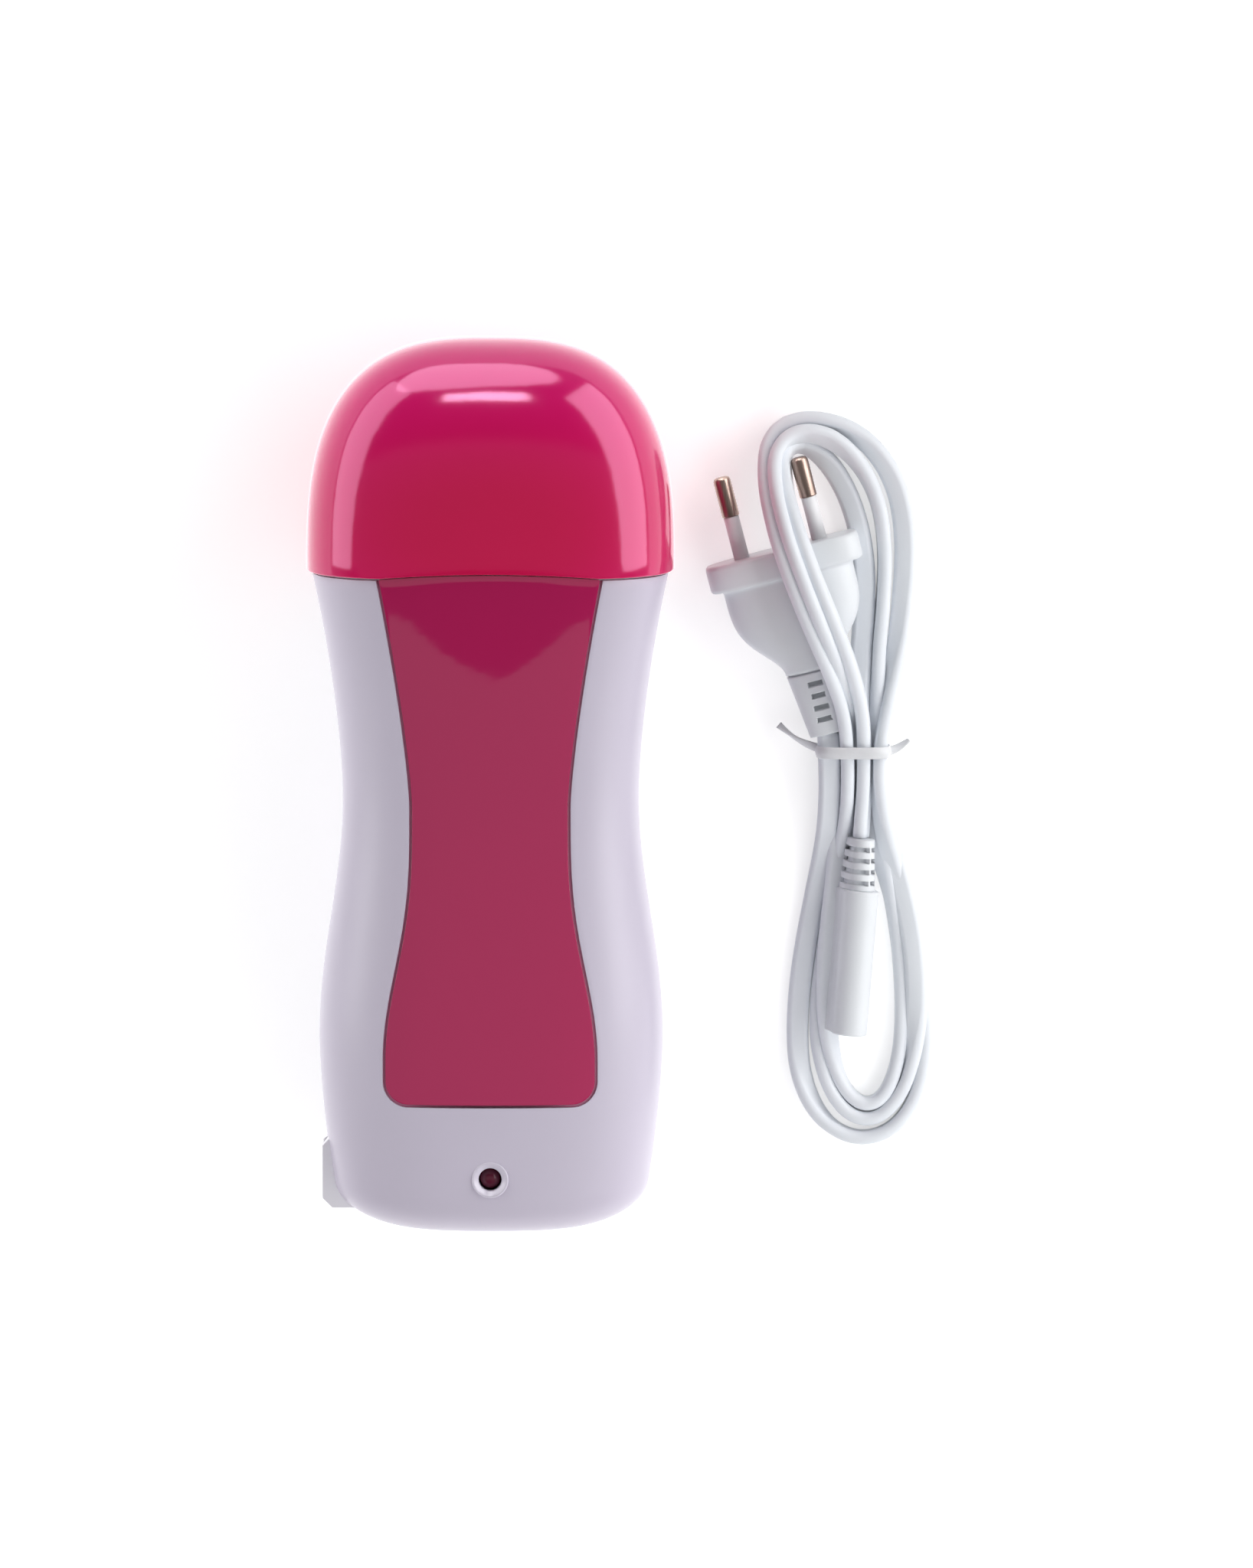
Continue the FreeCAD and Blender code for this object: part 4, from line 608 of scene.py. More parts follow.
# %% A turned surface, and the screw wells
def turned(outline, centre, count=48):
    """A grid from an outline of (radius, height): every point goes round an upright axis in a
    circle."""
    radius, height = np.array(outline, float).T[..., None]
    turn = once_round(count)
    rings = np.broadcast_arrays(radius * np.cos(turn), radius * np.sin(turn), height)
    return np.stack(rings, axis=-1) + np.array(centre)


def well(screw):
    """A turned tube whose lower end follows the back face, half a millimetre inside it."""
    inner, outer, top = WELL_RADIUS - 0.04, WELL_RADIUS + 0.9, WELL_TOP + 0.8
    tube = turned([(WELL_BORE, top), (WELL_BORE, WELL_TOP), (inner, WELL_TOP), (inner, 0),
                   (outer, 0), (outer, top), (WELL_BORE, top)], (*screw, 0))
    tube[3:5, :, 2] = back_over(tube[3:5, :, 0], tube[3:5, :, 1]) + 0.5
    return tube


screw_wells = sheet_object("screw_wells", *[well(screw) for screw in SCREWS], closed=True)
dress(screw_wells, "heater", slot="shell_plastic")

# %% [markdown]
# ## The window
#
# The window is a tinted, glossy panel that lies flush in its opening. It could be cut from the
# case's mesh. Its sheet uses the same front surface as the case instead, so that the two can't
# drift apart: only the outline is 0.7 mm smaller. Two more rows at the top follow the cap's
# arched edge up, and there the panel is thinner, because the neck is close behind it.

# %% Window panel
TOP, LIP, RISE_TO_BRIM = 47.45, 0.3, 0.078
PANE_COLUMNS, PANE_WALL, THIN_ZONE, THIN_SHARE = 61, 2.6, 2.0, 0.3
ARCH_RISE = 1.2


def brim_arch(x, z):
    """How far the cap's edge rises: a shallow arc of a circle over the window, nothing elsewhere
    and nothing on the back, where z is below zero. The circle's radius is the sum of the squares
    of the half chord and the rise, over twice the rise."""
    radius = (AT_BRIM ** 2 + ARCH_RISE ** 2) / (2 * ARCH_RISE)
    arc = np.sqrt(np.maximum(radius ** 2 - x ** 2, 0)) - (radius - ARCH_RISE)
    return np.where((np.abs(x) < AT_BRIM) & (z > 0), np.maximum(arc, 0), 0)


pane_y, pane_x = window_rows(0.0, TOP)
pane_y, pane_x = np.append([TOP + 1, TOP + 0.5], pane_y), np.append(pane_x[[0, 0]], pane_x)
x = pane_x[:, None] * np.linspace(-1, 1, PANE_COLUMNS)
y = pane_y[:, None] + 0 * x
y = np.where(y > TOP, TOP + (y - TOP) * (LIP + brim_arch(x, 1.0)), y)
z = front_over(x, np.minimum(y, TOP)) + RISE_TO_BRIM * np.maximum(y - TOP, 0)
window = sheet_object("window_pane", np.stack([x, y, z], axis=-1))
face_out(window, (0, -20, 20))
wall(window, PANE_WALL)
full = window.vertex_groups.new(name="full thickness")
full.add(np.flatnonzero(y.ravel() <= TOP - THIN_ZONE).tolist(), 1.0, "REPLACE")
window.modifiers["wall"].vertex_group = full.name
window.modifiers["wall"].thickness_vertex_group = THIN_SHARE
soften(window, 0.6, 3)
dress(window, "heater", "window_panel", slot="window_plastic")

# %% [markdown]
# A thin band closes the gap round the window, a little below the face. Its mauve is painted
# shade: it stands for the shade in the gap, where the dark inside of the case would otherwise show
# as a black line. It could be a tube, but only a narrow band of it shows, so it is a band between
# the window's edge and the opening's edge.

# %% Band of painted shade round the window
GAP_BAND_BELOW, GAP_BAND_WALL, OVERLAP = 0.55, 1.0, 0.05


def window_line(grow):
    """The window's edge as one line: down its right side and up its left side."""
    y, x = window_rows(grow, SHOULDER)
    return np.stack([np.append(x, -x[::-1]), np.append(y, y[::-1])], axis=-1)


outer, inner = window_line(GAP + OVERLAP), window_line(-OVERLAP)
gap_band_xy = outer + (inner - outer) * np.linspace(0, 1, 4)[:, None, None]
gap_band_z = front_over(gap_band_xy[..., 0], gap_band_xy[..., 1]) - GAP_BAND_BELOW
gap_shade_band = sheet_object("gap_shade_band", np.concatenate([gap_band_xy, gap_band_z[..., None]], axis=-1))
face_out(gap_shade_band, (0, -20, 20))
wall(gap_shade_band, GAP_BAND_WALL)
dress(gap_shade_band, "heater", slot="window_plastic")

# %% [markdown]
# ## The cap
#
# The cap is one high-gloss dome. A subdivided box would be quick, but its gloss would show every
# uneven face. So its slices are the case's soft rectangle, scaled down towards the crown by a
# superellipse: an ellipse with a power of 2.8 in place of 2, which keeps the sides straight for
# longer. Rows are spaced by angle, so that they crowd where the dome turns over. The lower edge
# arches up a little over the window.

# %% Cap dome
DOME = 2.8
CAP_HALF, CAP_FRONT, CAP_BACK = 41.2, 26.7, 24.6
CAP_ROWS, CAP_QUARTER, CAP_WALL = 72, 36, 1.8


def cap_outline():
    """Once round the cap at the brim, in x and in height from the parting plane: four Bezier
    quarters, every other one run backwards, from the right over the front to the back."""
    t = np.linspace(0, 1, CAP_QUARTER, endpoint=False)
    halves = ((CAP_HALF, CAP_FRONT, FRONT_SQUARE), (-CAP_HALF, -CAP_BACK, BACK_SQUARE))
    quarters = []
    for side, reach, square in halves:
        for sign, run in ((1, t), (-1, 1 - t)):
            wide, high = quarter(run, square)
            quarters.append([sign * side * wide, reach * high])
    return np.concatenate(quarters, axis=1)


ring_x, ring_z = cap_outline()
start_share = brim_arch(ring_x, ring_z) / (CROWN - BRIM)
rise = np.sin(np.linspace(0, np.pi / 2, CAP_ROWS)) ** (2 / DOME)
rise_at = start_share + (1 - start_share) * rise[:, None]
scale = np.maximum(1 - rise_at ** DOME, 0) ** (1 / DOME)
dome = [ring_x * scale, BRIM + (CROWN - BRIM) * rise_at, PARTING + ring_z * scale]
cap = sheet_object("cap_dome", np.stack(dome, axis=-1), closed=True)
face_out(cap, (0, 60, 25))
wall(cap, CAP_WALL)
soften(cap, 0.45, 3)
dress(cap, "cap", "cap", slot="cap_plastic")

# %% [markdown]
# ## The lamp
#
# A dark red lens sits in a dished ring near the foot. The lens can stay as the frame has it. The
# ring catches the light on its rounds, so it is turned anew: its face slopes down to the lens like
# a saucer, and its outer edge stands a third of a millimetre proud.

# %% Lamp ring
LAMP_TOP = float(front_over(*LAMP))
RING = [(2.56, -3.5), (2.56, -0.62), (2.66, -0.46), (2.85, -0.32), (3.2, -0.02), (3.5, 0.2),
        (3.68, 0.3), (3.82, 0.34), (3.97, 0.28), (4.07, 0.16), (4.1, 0.0), (4.1, -0.8),
        (3.4, -0.8), (3.4, -3.5), (2.56, -3.5)]
lamp_ring = sheet_object("lamp_ring", turned(RING, (*LAMP, LAMP_TOP), 72), closed=True)
dress(lamp_ring, "heater", "lamp_bezel", slot="bezel_plastic")

# %% [markdown]
# ## The inlet block
#
# The mains inlet is a rectangular block with bevelled ends that stands out of the left side. It
# could be built anew, but its CAD mesh already has the socket in it, so a copy is taken: its loose
# triangles are welded, flat faces are joined, and the edges are rounded.

# %% Softened copies of CAD nodes
def softened(name, node, width):
    """A welded copy of a CAD node, with faces that lie within a degree of each other joined, and
    with rounded edges."""
    mesh = nodes[node].data.copy()
    mesh.name = name
    body = bmesh.new()
    body.from_mesh(mesh)
    bmesh.ops.remove_doubles(body, verts=body.verts, dist=WELD)
    flat = np.radians(1.0)
    bmesh.ops.dissolve_limit(body, angle_limit=flat, verts=body.verts, edges=body.edges)
    body.to_mesh(mesh)
    body.free()
    mesh.materials.clear()
    piece = bpy.data.objects.new(name, mesh)
    bpy.context.scene.collection.objects.link(piece)
    mesh.set_sharp_from_angle(angle=np.radians(30))
    soften(piece, width, 3)
    return piece


inlet = softened("inlet_block", "inlet_housing", 0.35)
dress(inlet, "heater", "inlet_housing", slot="inlet_plastic")

# %% [markdown]
# ## The plug
#
# The flat two-pin plug is one soft moulding: an oval flange, a grip that tapers to the neck, and a
# slotted sleeve that lets the cord bend. It could be lofted by hand. A slice of it anywhere is a
# superellipse, so the whole plug is a stack of rings, each with its own two sizes and power. Its
# own frame has the pins along +y, and a small turn lays it in place.

# %% Rings of superellipses
def oval_rings(width, depth, power, count=72):
    """Round superellipses by their polar radius: one over the power sum of the direction's shares
    of the two half sizes. Each size is a number, or an array with one number for each ring."""
    width, depth, power = (np.asarray(size, float)[..., None] for size in (width, depth, power))
    even = once_round(count)
    turn = np.arctan2(depth * np.sin(even), width * np.cos(even))
    c, s = np.cos(turn), np.sin(turn)
    shares = (np.abs(c) * 2 / width) ** power + (np.abs(s) * 2 / depth) ** power
    radius = shares ** (-1 / power)
    return radius * c, radius * s


def stacked(rows, count=72):
    """A grid from rows of (y, width, depth, power), closed at both ends by a ring without size."""
    y, width, depth, power = np.array(rows, float).T
    x, z = oval_rings(width, depth, power, count)
    return capped(np.stack(np.broadcast_arrays(x, y[:, None], z), axis=-1))


def laid(grid, centre, turn, lean=0.0):
    """The grid rolled about its length, turned on the table and moved to its place."""
    roll = Matrix.Rotation(np.radians(-lean), 3, "Y")
    spin = Matrix.Rotation(np.radians(turn), 3, "Z")
    return grid @ np.array(spin @ roll).T + np.array(centre)


PLUG = dict(centre=(65.1, 50.7, 6.85), turn=14.5)
GRIP_START, GRIP_LENGTH, GRIP_ROWS = -6.3, 22.0, 30
share = np.linspace(0, 1, GRIP_ROWS)[1:]
belly = (1 - np.cos(np.pi * share ** 2)) / 2
grip = np.stack([GRIP_START - GRIP_LENGTH * share, 30.0 - 18.0 * belly, 12.6 - 4.2 * share ** 2,
                 2.6 - 0.2 * share], axis=-1)
seam = [(-28.34, 11.0, 7.5, 2.4), (-29.4, 10.9, 7.4, 2.4)]
flange = [(0.0, 32.9, 11.3, 3.3), (-0.05, 34.3, 12.7, 3.3), (-0.4, 35.0, 13.4, 3.3),
          (-1.1, 35.3, 13.7, 3.3), (-5.3, 35.3, 13.7, 3.3), (-5.95, 35.0, 13.4, 3.3),
          (-6.25, 34.2, 12.9, 3.2), (-6.3, 32.0, 12.7, 3.0), (-6.3, 30.6, 12.65, 2.6)]
plug_rings = laid(stacked(flange + grip.tolist() + seam), **PLUG)
plug = sheet_object("plug_moulding", plug_rings, closed=True)
dress(plug, "mains_lead", "plug_body", slot="plug_pvc")

# %% [markdown]
# The plug's two pins are round metal bars. Each has a plastic cover over its first half, so that no
# finger touches metal while the plug is half out, and bare metal with a rounded tip beyond it. A
# cylinder with a bevel would do for one of them; the ring stack that is already here does for all.

# %% Pins and their covers
PIN_X = (-9.0, 9.0)
BARE = [(9.6, 1.36), (9.82, 1.9), (9.9, 1.98), (10.0, 2.0), (17.6, 2.0), (18.2, 1.94),
        (18.6, 1.78), (18.85, 1.5), (19.0, 1.1)]
COVER = [(-0.4, 1.75), (9.5, 1.75), (9.72, 1.7), (9.8, 1.55)]


def round_bar(x, rows):
    """A round bar along y in the plug's frame, beside its middle by x, from (y, radius) rows."""
    grid = stacked([(y, 2 * radius, 2 * radius, 2.0) for y, radius in rows], 36)
    return laid(grid + np.array([x, 0.0, 0.0]), **PLUG)


pins = sheet_object("plug_pin_tips", *[round_bar(x, BARE) for x in PIN_X], closed=True)
covers = sheet_object("plug_pin_covers", *[round_bar(x, COVER) for x in PIN_X], closed=True)
dress(pins, "mains_lead", "plug_pins", slot="pin_nickel")
dress(covers, "mains_lead", "plug_pin_sleeves", slot="sleeve_plastic")

# %% [markdown]
# ## Slotted sleeves
#
# Behind the plug and behind the connector the cord is held by a soft sleeve with slots across it.
# The slots could be cut one by one. Here the sleeve is a ring stack too, and wherever a point lies
# inside a slot it is drawn in towards the middle. Rows sit close together at the slots' edges, so
# that their walls stay steep.

# %% Sleeves with slots
SLEEVE_POWER, SLEEVE_ROWS, SLEEVE_COLUMNS, STEEP = 2.3, 40, 144, 0.03


def slotted(start, end, widths, depths, slots, cuts):
    """A stack of rings that is drawn in where a slot is. Widths and depths are those at the start
    and the end, with even steps between. Slots are spans (low, high) along y. A cut says what every
    slot takes away: along which axis and from which side, how deep, and from where to where it
    reaches on the other axis."""
    edges = np.array(slots).ravel()
    plain = np.linspace(start, end, SLEEVE_ROWS)
    y = np.unique(np.concatenate([plain, edges - STEEP, edges + STEEP]))
    share = (y - start) / (end - start)
    width, depth = (first + (last - first) * share for first, last in (widths, depths))
    across, high = oval_rings(width, depth, SLEEVE_POWER, SLEEVE_COLUMNS)
    in_slot = np.any([(y > low) & (y < top) for low, top in slots], axis=0)[:, None]
    shape, other = {"x": across, "z": high}, {"x": high, "z": across}
    drawn = {axis: value.copy() for axis, value in shape.items()}
    for axis, sign, deep, near, far in cuts:
        within = (other[axis] > near) & (other[axis] < far) & (sign * shape[axis] > deep + 0.3)
        drawn[axis] -= np.where(in_slot & within, sign * deep, 0)
    return capped(np.stack(np.broadcast_arrays(drawn["x"], y[:, None], drawn["z"]), axis=-1))


plug_slots = [(-28.3 - at - 1.2, -28.3 - at) for at in (2.4, 5.2, 8.0, 10.8)]
plug_cuts = [("z", 1, 2.6, -1.6, 1.6), ("z", -1, 2.6, -1.6, 1.6)]
sleeve_rings = slotted(-43.3, -28.75, (8.4, 11.9), (5.6, 8.3), plug_slots, plug_cuts)
plug_sleeve = sheet_object("plug_sleeve", laid(sleeve_rings, **PLUG), closed=True)
dress(plug_sleeve, "mains_lead", "plug_strain_relief", slot="plug_pvc")

# %% [markdown]
# ## The connector
#
# The other end has a two-lobed connector for the heater's inlet. Two half cylinders side by side
# give its outline. It lies on its edge, leaning by 70 degrees. It could be a ring stack as well,
# but the CAD node has the two bores for the inlet's pins in it, so a softened copy of that is
# used. Its sleeve is made as the plug's is.

# %% Connector and its sleeve
CONNECTOR = dict(centre=(79.8, -59.5, 6.68), turn=-4.6, lean=70.0)
connector = softened("connector_moulding", "connector_body", 0.4)
dress(connector, "mains_lead", "connector_body", slot="plug_pvc")

connector_slots = [(33.0 + at, 34.1 + at) for at in (1.2, 3.7, 6.2, 8.7)]
connector_cuts = [("x", 1, 1.9, -0.6, 4.0), ("x", 1, 1.9, -2.6, -1.2),
                  ("x", -1, 1.9, -2.6, 2.6), ("z", 1, 0.9, -2.6, 3.4)]
sleeve_rings = slotted(33.0, 44.5, (11.2, 8.4), (7.3, 5.6), connector_slots, connector_cuts)
connector_sleeve = sheet_object("connector_sleeve", laid(sleeve_rings, **CONNECTOR), closed=True)
dress(connector_sleeve, "mains_lead", "connector_strain_relief", slot="plug_pvc")

# %% [markdown]
# ## The tie
#
# A flat wire tie goes round the bundle, and its two ends are twisted and stick out. A torus could
# stand for it, but the band is flat and follows the bundle's oval. So it is a closed ring with a
# small flat profile, and the twisted tails are a flat profile too, rolled as it is carried along a
# line.

# %% Wire tie
TIE = np.array([81.6, 4.6, 5.68])
LEFT_TAIL = [(73.4, 5.2, 4.8), (70.9, 6.0, 4.4), (67.9, 7.6, 3.6), (64.8, 10.2, 3.0)]
RIGHT_TAIL = [(89.4, 4.4, 5.2), (90.8, 4.7, 4.6), (92.6, 5.6, 4.0), (94.2, 6.8, 3.6)]
TWIST = 12.0

section = once_round(16)
band_x, band_z = oval_rings(16.4, 10.3, 3.6, 96)
outward = unit(np.stack([band_x, 0 * band_x, band_z * 1.6], axis=-1))
band_thick = (0.34 + 0.16 * np.cos(section * 2) ** 2) * np.sin(section)
band_wide = 1.35 * np.cos(section)
band = (TIE + np.stack([band_x, 0 * band_x, band_z], axis=-1))[:, None]
band = band + outward[:, None] * band_thick[:, None] + np.array([0, 1, 0]) * band_wide[:, None]
band = np.concatenate([band, band[:1]])


def tail(name, controls):
    """A flat strip along a smooth line, rolled 12 degrees further with every millimetre."""
    points = thinned(line_points(name, np.array(controls), 10), 0.02)
    roll = 10.0 + run_along(points) * TWIST
    return capped(carried(points, roll, 1.05 * np.cos(section), 0.5 * np.sin(section)))


tails = [tail("left tail", LEFT_TAIL), tail("right tail", RIGHT_TAIL)]
tie = sheet_object("wire_tie", band, *tails, closed=True)
dress(tie, "mains_lead", "twist_tie", slot="tie_plastic")

# %% [markdown]
# ## Finishes
#
# A finish is a small graph of nodes. It could be clicked together for each piece. Here one function
# adds a node, sets its values and joins its inputs, and another turns a colour written as a hex
# code into the linear numbers that the shader works with.

# %% Tools for finishes
def linear(code):
    """The linear red, green, blue and alpha of an sRGB hex colour: the lowest values divided by
    12.92, the others by the sRGB power curve."""
    value = np.array([int(code[at:at + 2], 16) / 255 for at in (1, 3, 5)])
    value = np.where(value <= 0.04045, value / 12.92, ((value + 0.055) / 1.055) ** 2.4)
    return (*value.tolist(), 1.0)


def plug_in(owner, node, **inputs):
    """Sets inputs of a node, each to a value or to the output socket of another node. An input's
    name is written with _ for a space, or as i and its number."""
    for name, value in inputs.items():
        socket = node.inputs[int(name[1:]) if name[1:].isdigit() else name.replace("_", " ")]
        if isinstance(value, bpy.types.NodeSocket):
            owner.node_tree.links.new(value, socket)
        else:
            socket.default_value = value


def add(owner, kind, settings=(), **inputs):
    """A node of a kind in a material or a world. Settings are its own properties."""
    node = owner.node_tree.nodes.new(kind)
    for name, value in dict(settings).items():
        setattr(node, name, value)
    plug_in(owner, node, **inputs)
    return node


def finish_of(name):
    """An empty material with its shader and the object's own coordinates."""
    material = bpy.data.materials.new(name)
    material.use_nodes = True
    material.node_tree.nodes.clear()
    shader = add(material, "ShaderNodeBsdfPrincipled")
    add(material, "ShaderNodeOutputMaterial", Surface=shader.outputs["BSDF"])
    return material, shader, add(material, "ShaderNodeTexCoord").outputs["Object"]


def paint(material, *pieces):
    """Gives the material to pieces, or to CAD nodes by their names."""
    pieces = [nodes[piece] if isinstance(piece, str) else piece for piece in pieces]
    for piece in pieces:
        piece.data.materials.clear()
        piece.data.materials.append(material)
        for place in piece.material_slots:
            place.link = "DATA"
    print("%s: %s" % (material.name, ", ".join(piece.name for piece in pieces)))


print("#808080, a middle grey to the eye, is %.3f in linear numbers" % linear("#808080")[0])

# %% [markdown]
# Every plastic here is moulded, and every metal is drawn or rolled, so two recipes are enough. A
# moulding has a colour that drifts over centimetres and a fine grain from the tool's surface. A
# metal has streaks along the way it was drawn. A plain colour would be quicker, but the eye takes
# it for paint. The grit of such tools, about 0.05 mm, is too fine to show, so grains are drawn as
# 0.2 to 0.6 mm; on polished pieces, the grain is the tool's slow ripple of 1 mm and more.

# %% Moulded and drawn
def moulded(name, colour, darker, roughness, grain_mm=0.25, grain=0.02, mottle_mm=18.0, ior=1.5,
            **more):
    """A moulded plastic: its colour drifts slowly to a darker one, its gloss varies by a tenth,
    and a fine grain, a third as deep as it is wide, roughens it."""
    material, shader, where = finish_of(name)
    drift = add(material, "ShaderNodeTexNoise", Vector=where, Scale=1 / (mottle_mm * MM),
                Detail=3.0)
    fine = add(material, "ShaderNodeTexNoise", Vector=where, Scale=1 / (grain_mm * MM),
               Detail=2.0)
    tint = add(material, "ShaderNodeMix", {"data_type": "RGBA"}, i0=drift.outputs["Fac"],
               i6=linear(colour), i7=linear(darker))
    gloss = add(material, "ShaderNodeMapRange", Value=fine.outputs["Fac"],
                To_Min=roughness * 0.9, To_Max=roughness * 1.1)
    bump = add(material, "ShaderNodeBump", Height=fine.outputs["Fac"], Strength=grain,
               Distance=grain_mm * MM * 0.3)
    plug_in(material, shader, Base_Color=tint.outputs[2], Roughness=gloss.outputs["Result"],
            Normal=bump.outputs["Normal"], IOR=ior, **more)
    return material


def metal(name, colour, darker, roughness, grain_mm=(0.4, 0.4, 0.4), grain=0.05):
    """A metal whose colour, gloss and height follow one noise, stretched along the axis whose
    grain length is long."""
    material, shader, where = finish_of(name)
    stretched = add(material, "ShaderNodeMapping", Vector=where,
                    Scale=[1 / (size * MM) for size in grain_mm])
    streak = add(material, "ShaderNodeTexNoise", Vector=stretched.outputs["Vector"], Scale=1.0,
                 Detail=3.0)
    tint = add(material, "ShaderNodeMix", {"data_type": "RGBA"}, i0=streak.outputs["Fac"],
               i6=linear(colour), i7=linear(darker))
    gloss = add(material, "ShaderNodeMapRange", Value=streak.outputs["Fac"],
                To_Min=roughness * 0.8, To_Max=roughness * 1.25)
    bump = add(material, "ShaderNodeBump", Height=streak.outputs["Fac"], Strength=grain,
               Distance=0.00002)
    plug_in(material, shader, Base_Color=tint.outputs[2], Roughness=gloss.outputs["Result"],
            Normal=bump.outputs["Normal"], Metallic=1.0)
    return material


print("a grain 0.25 mm wide is a noise scale of %.0f" % (1 / (0.25 * MM)))

# %% [markdown]
# ### The cap's finish
#
# The cap is polypropylene dyed right through and moulded in a polished tool. That gives
# reflections with nearly sharp edges and the faintest ripple, and they are a little pink, because
# some light enters the dyed skin before it comes back. Where the wall turns away at the rims, the
# colour is painted brighter: painted light, which stands for light coming through from behind.
# Light inside the plastic could be simulated, but slowly. The painted light changes with the
# distance from a point low on the dome. To measure that distance, each coordinate is divided by its
# own reach, and the length of what results runs from 0 in the middle to 1 at the rims.

# %% Glossy dyed polypropylene
DEEP_AT, DEEP_REACH = 58.22, (75.0, 41.0)
cap_gloss = moulded("glossy dyed polypropylene", "#C61049", "#BF0F46", 0.12, grain_mm=6.0,
                    mottle_mm=40, ior=1.6, Specular_Tint=(1.0, 0.55, 0.85, 1.0))
cap_shader = cap_gloss.node_tree.nodes["Principled BSDF"]
deep_colour = cap_shader.inputs["Base Color"].links[0].from_socket
own_place = cap_gloss.node_tree.nodes["Texture Coordinate"].outputs["Object"]
# Painted light: the cap's colour is mixed towards a brighter pink with the distance from a point
# low on the dome, most at the rims.
spread = add(cap_gloss, "ShaderNodeMapping", Vector=own_place,
             Location=(0, -DEEP_AT / DEEP_REACH[1], 0),
             Scale=(1 / (DEEP_REACH[0] * MM), 1 / (DEEP_REACH[1] * MM), 0))
off_middle = add(cap_gloss, "ShaderNodeVectorMath", {"operation": "LENGTH"},
                 i0=spread.outputs["Vector"])
painted_light_share = add(cap_gloss, "ShaderNodeMapRange", {"interpolation_type": "SMOOTHSTEP"},
             Value=off_middle.outputs["Value"], From_Min=0.15, From_Max=1.0)
painted_rim_light = add(cap_gloss, "ShaderNodeMix", {"data_type": "RGBA"}, i0=painted_light_share.outputs["Result"],
               i6=deep_colour, i7=linear("#D8126C"))
plug_in(cap_gloss, cap_shader, Base_Color=painted_rim_light.outputs[2])
paint(cap_gloss, cap)

# %% [markdown]
# ### The other finishes of the heater
#
# The case is ABS from a finely sparked tool, and the window is polished. Both could share one
# plastic with two roughnesses, but their colour, their grain and the strength of their reflection
# differ as well, so each piece gets the plastic it is made of.

# %% Heater finishes
# Polished and tinted in depth: a near mirror over dark red. The index is high, because light is
# mirrored by both faces of the sheet.
window_tint = moulded("tinted polycarbonate", "#AB1553", "#A61450", 0.035, grain_mm=8.0,
                      grain=0.005, mottle_mm=40, ior=1.85)
# Soft, matt and mauve as painted shade: the gap reads as a thin mauve line without a shine.
gap_shade_mauve = moulded("soft mauve bead", "#B06A88", "#A96482", 0.5, grain_mm=0.3, grain=0.1)
# Sparked tool: broad, weak highlights and no sharp reflection.
case_satin = moulded("satin ABS", "#C5BECE", "#C1BACA", 0.38, grain_mm=0.22, grain=0.12,
                     Specular_IOR_Level=0.28)
# Glass-filled and duller than the case: it stands back when the cap is off.
collar_satin = moulded("satin polyamide", "#CBC9D2", "#C5C3CD", 0.45, grain_mm=0.3, grain=0.15)
# Unpolished inside face: chalky, with hardly any highlight.
bulkhead_matt = moulded("matt polyamide", "#DAD8D3", "#D2D0CA", 0.6, grain_mm=0.35, grain=0.2)
# Nearly white with the case's soft shine: painted light on a side the lamps hardly reach.
inlet_painted_light = moulded("satin inlet moulding", "#EFEDF3", "#E9E7EE", 0.4, grain_mm=0.25, grain=0.12)
# Smoother tool than the case's: a crisp glint round the ring's rounds.
ring_gloss = moulded("glossy ABS ring", "#CFC9D7", "#CAC4D3", 0.24, grain_mm=3.0, grain=0.03)
# Unlit lens: very dark, and only its reflection tells that it is clear.
lamp_resin = moulded("dark red lamp resin", "#5E1830", "#4C1227", 0.14, grain_mm=1.0, grain=0.05,
                     ior=1.52)

paint(window_tint, window)
paint(gap_shade_mauve, gap_shade_band)
paint(case_satin, front_case, back_case, screw_wells)
paint(collar_satin, "neck_collar")
paint(bulkhead_matt, "bulkhead")
paint(inlet_painted_light, inlet)
paint(ring_gloss, lamp_ring)
paint(lamp_resin, "indicator_lamp")

# %% [markdown]
# ### The finishes of the lead
#
# Cord, plug and connector are soft PVC, whose skin is a little greasy and scatters light. It could
# be given light under its skin, but at this size a pale colour with a broad, weak highlight looks
# the same. The pins are nickel plated; their warm tone is a painted reflection of the pink cap.

# %% Lead finishes
# Extruded and soft: almost white, with a dull sheen along its back.
cord_pvc = moulded("soft PVC cord", "#ECEFF4", "#E4E8EE", 0.5, grain_mm=0.5, grain=0.1,
                   mottle_mm=9.0, Specular_IOR_Level=0.25)
# Moulded and firmer: a shade greyer than the cord, with a clearer highlight.
plug_pvc = moulded("soft PVC moulding", "#E3E6EA", "#DCDFE3", 0.46, grain_mm=0.3, grain=0.14,
                   mottle_mm=12.0, Specular_IOR_Level=0.4)
# Hard insulation: plain and matt, so that the bare metal stands out beyond it.
cover_matt = moulded("pin insulation", "#ECEBED", "#E4E3E5", 0.5, grain_mm=0.3, grain=0.1)
# Plastic drawn over wire: pale, a little uneven and slightly rough.
tie_paper = moulded("coated wire tie", "#E6E7EA", "#D8D9DC", 0.5, grain_mm=0.3, grain=0.2,
                    mottle_mm=3.0)
# Plated and handled: grey, warmed by a painted reflection of the pink cap, with fine
# scratches along the pin from sockets.
pin_metal = metal("nickel plated brass", "#A9988F", "#80685E", 0.32, grain_mm=(0.3, 6.0, 0.3),
                  grain=0.08)
# Bare brass: yellow and bright where the socket lets light in.
contact_brass = metal("drawn brass", "#CDB070", "#B89A5C", 0.3)

paint(cord_pvc, cord)
paint(plug_pvc, plug, plug_sleeve, connector, connector_sleeve)
paint(cover_matt, covers)
paint(tie_paper, tie)
paint(pin_metal, pins)
paint(contact_brass, "connector_contacts", "inlet_pins")

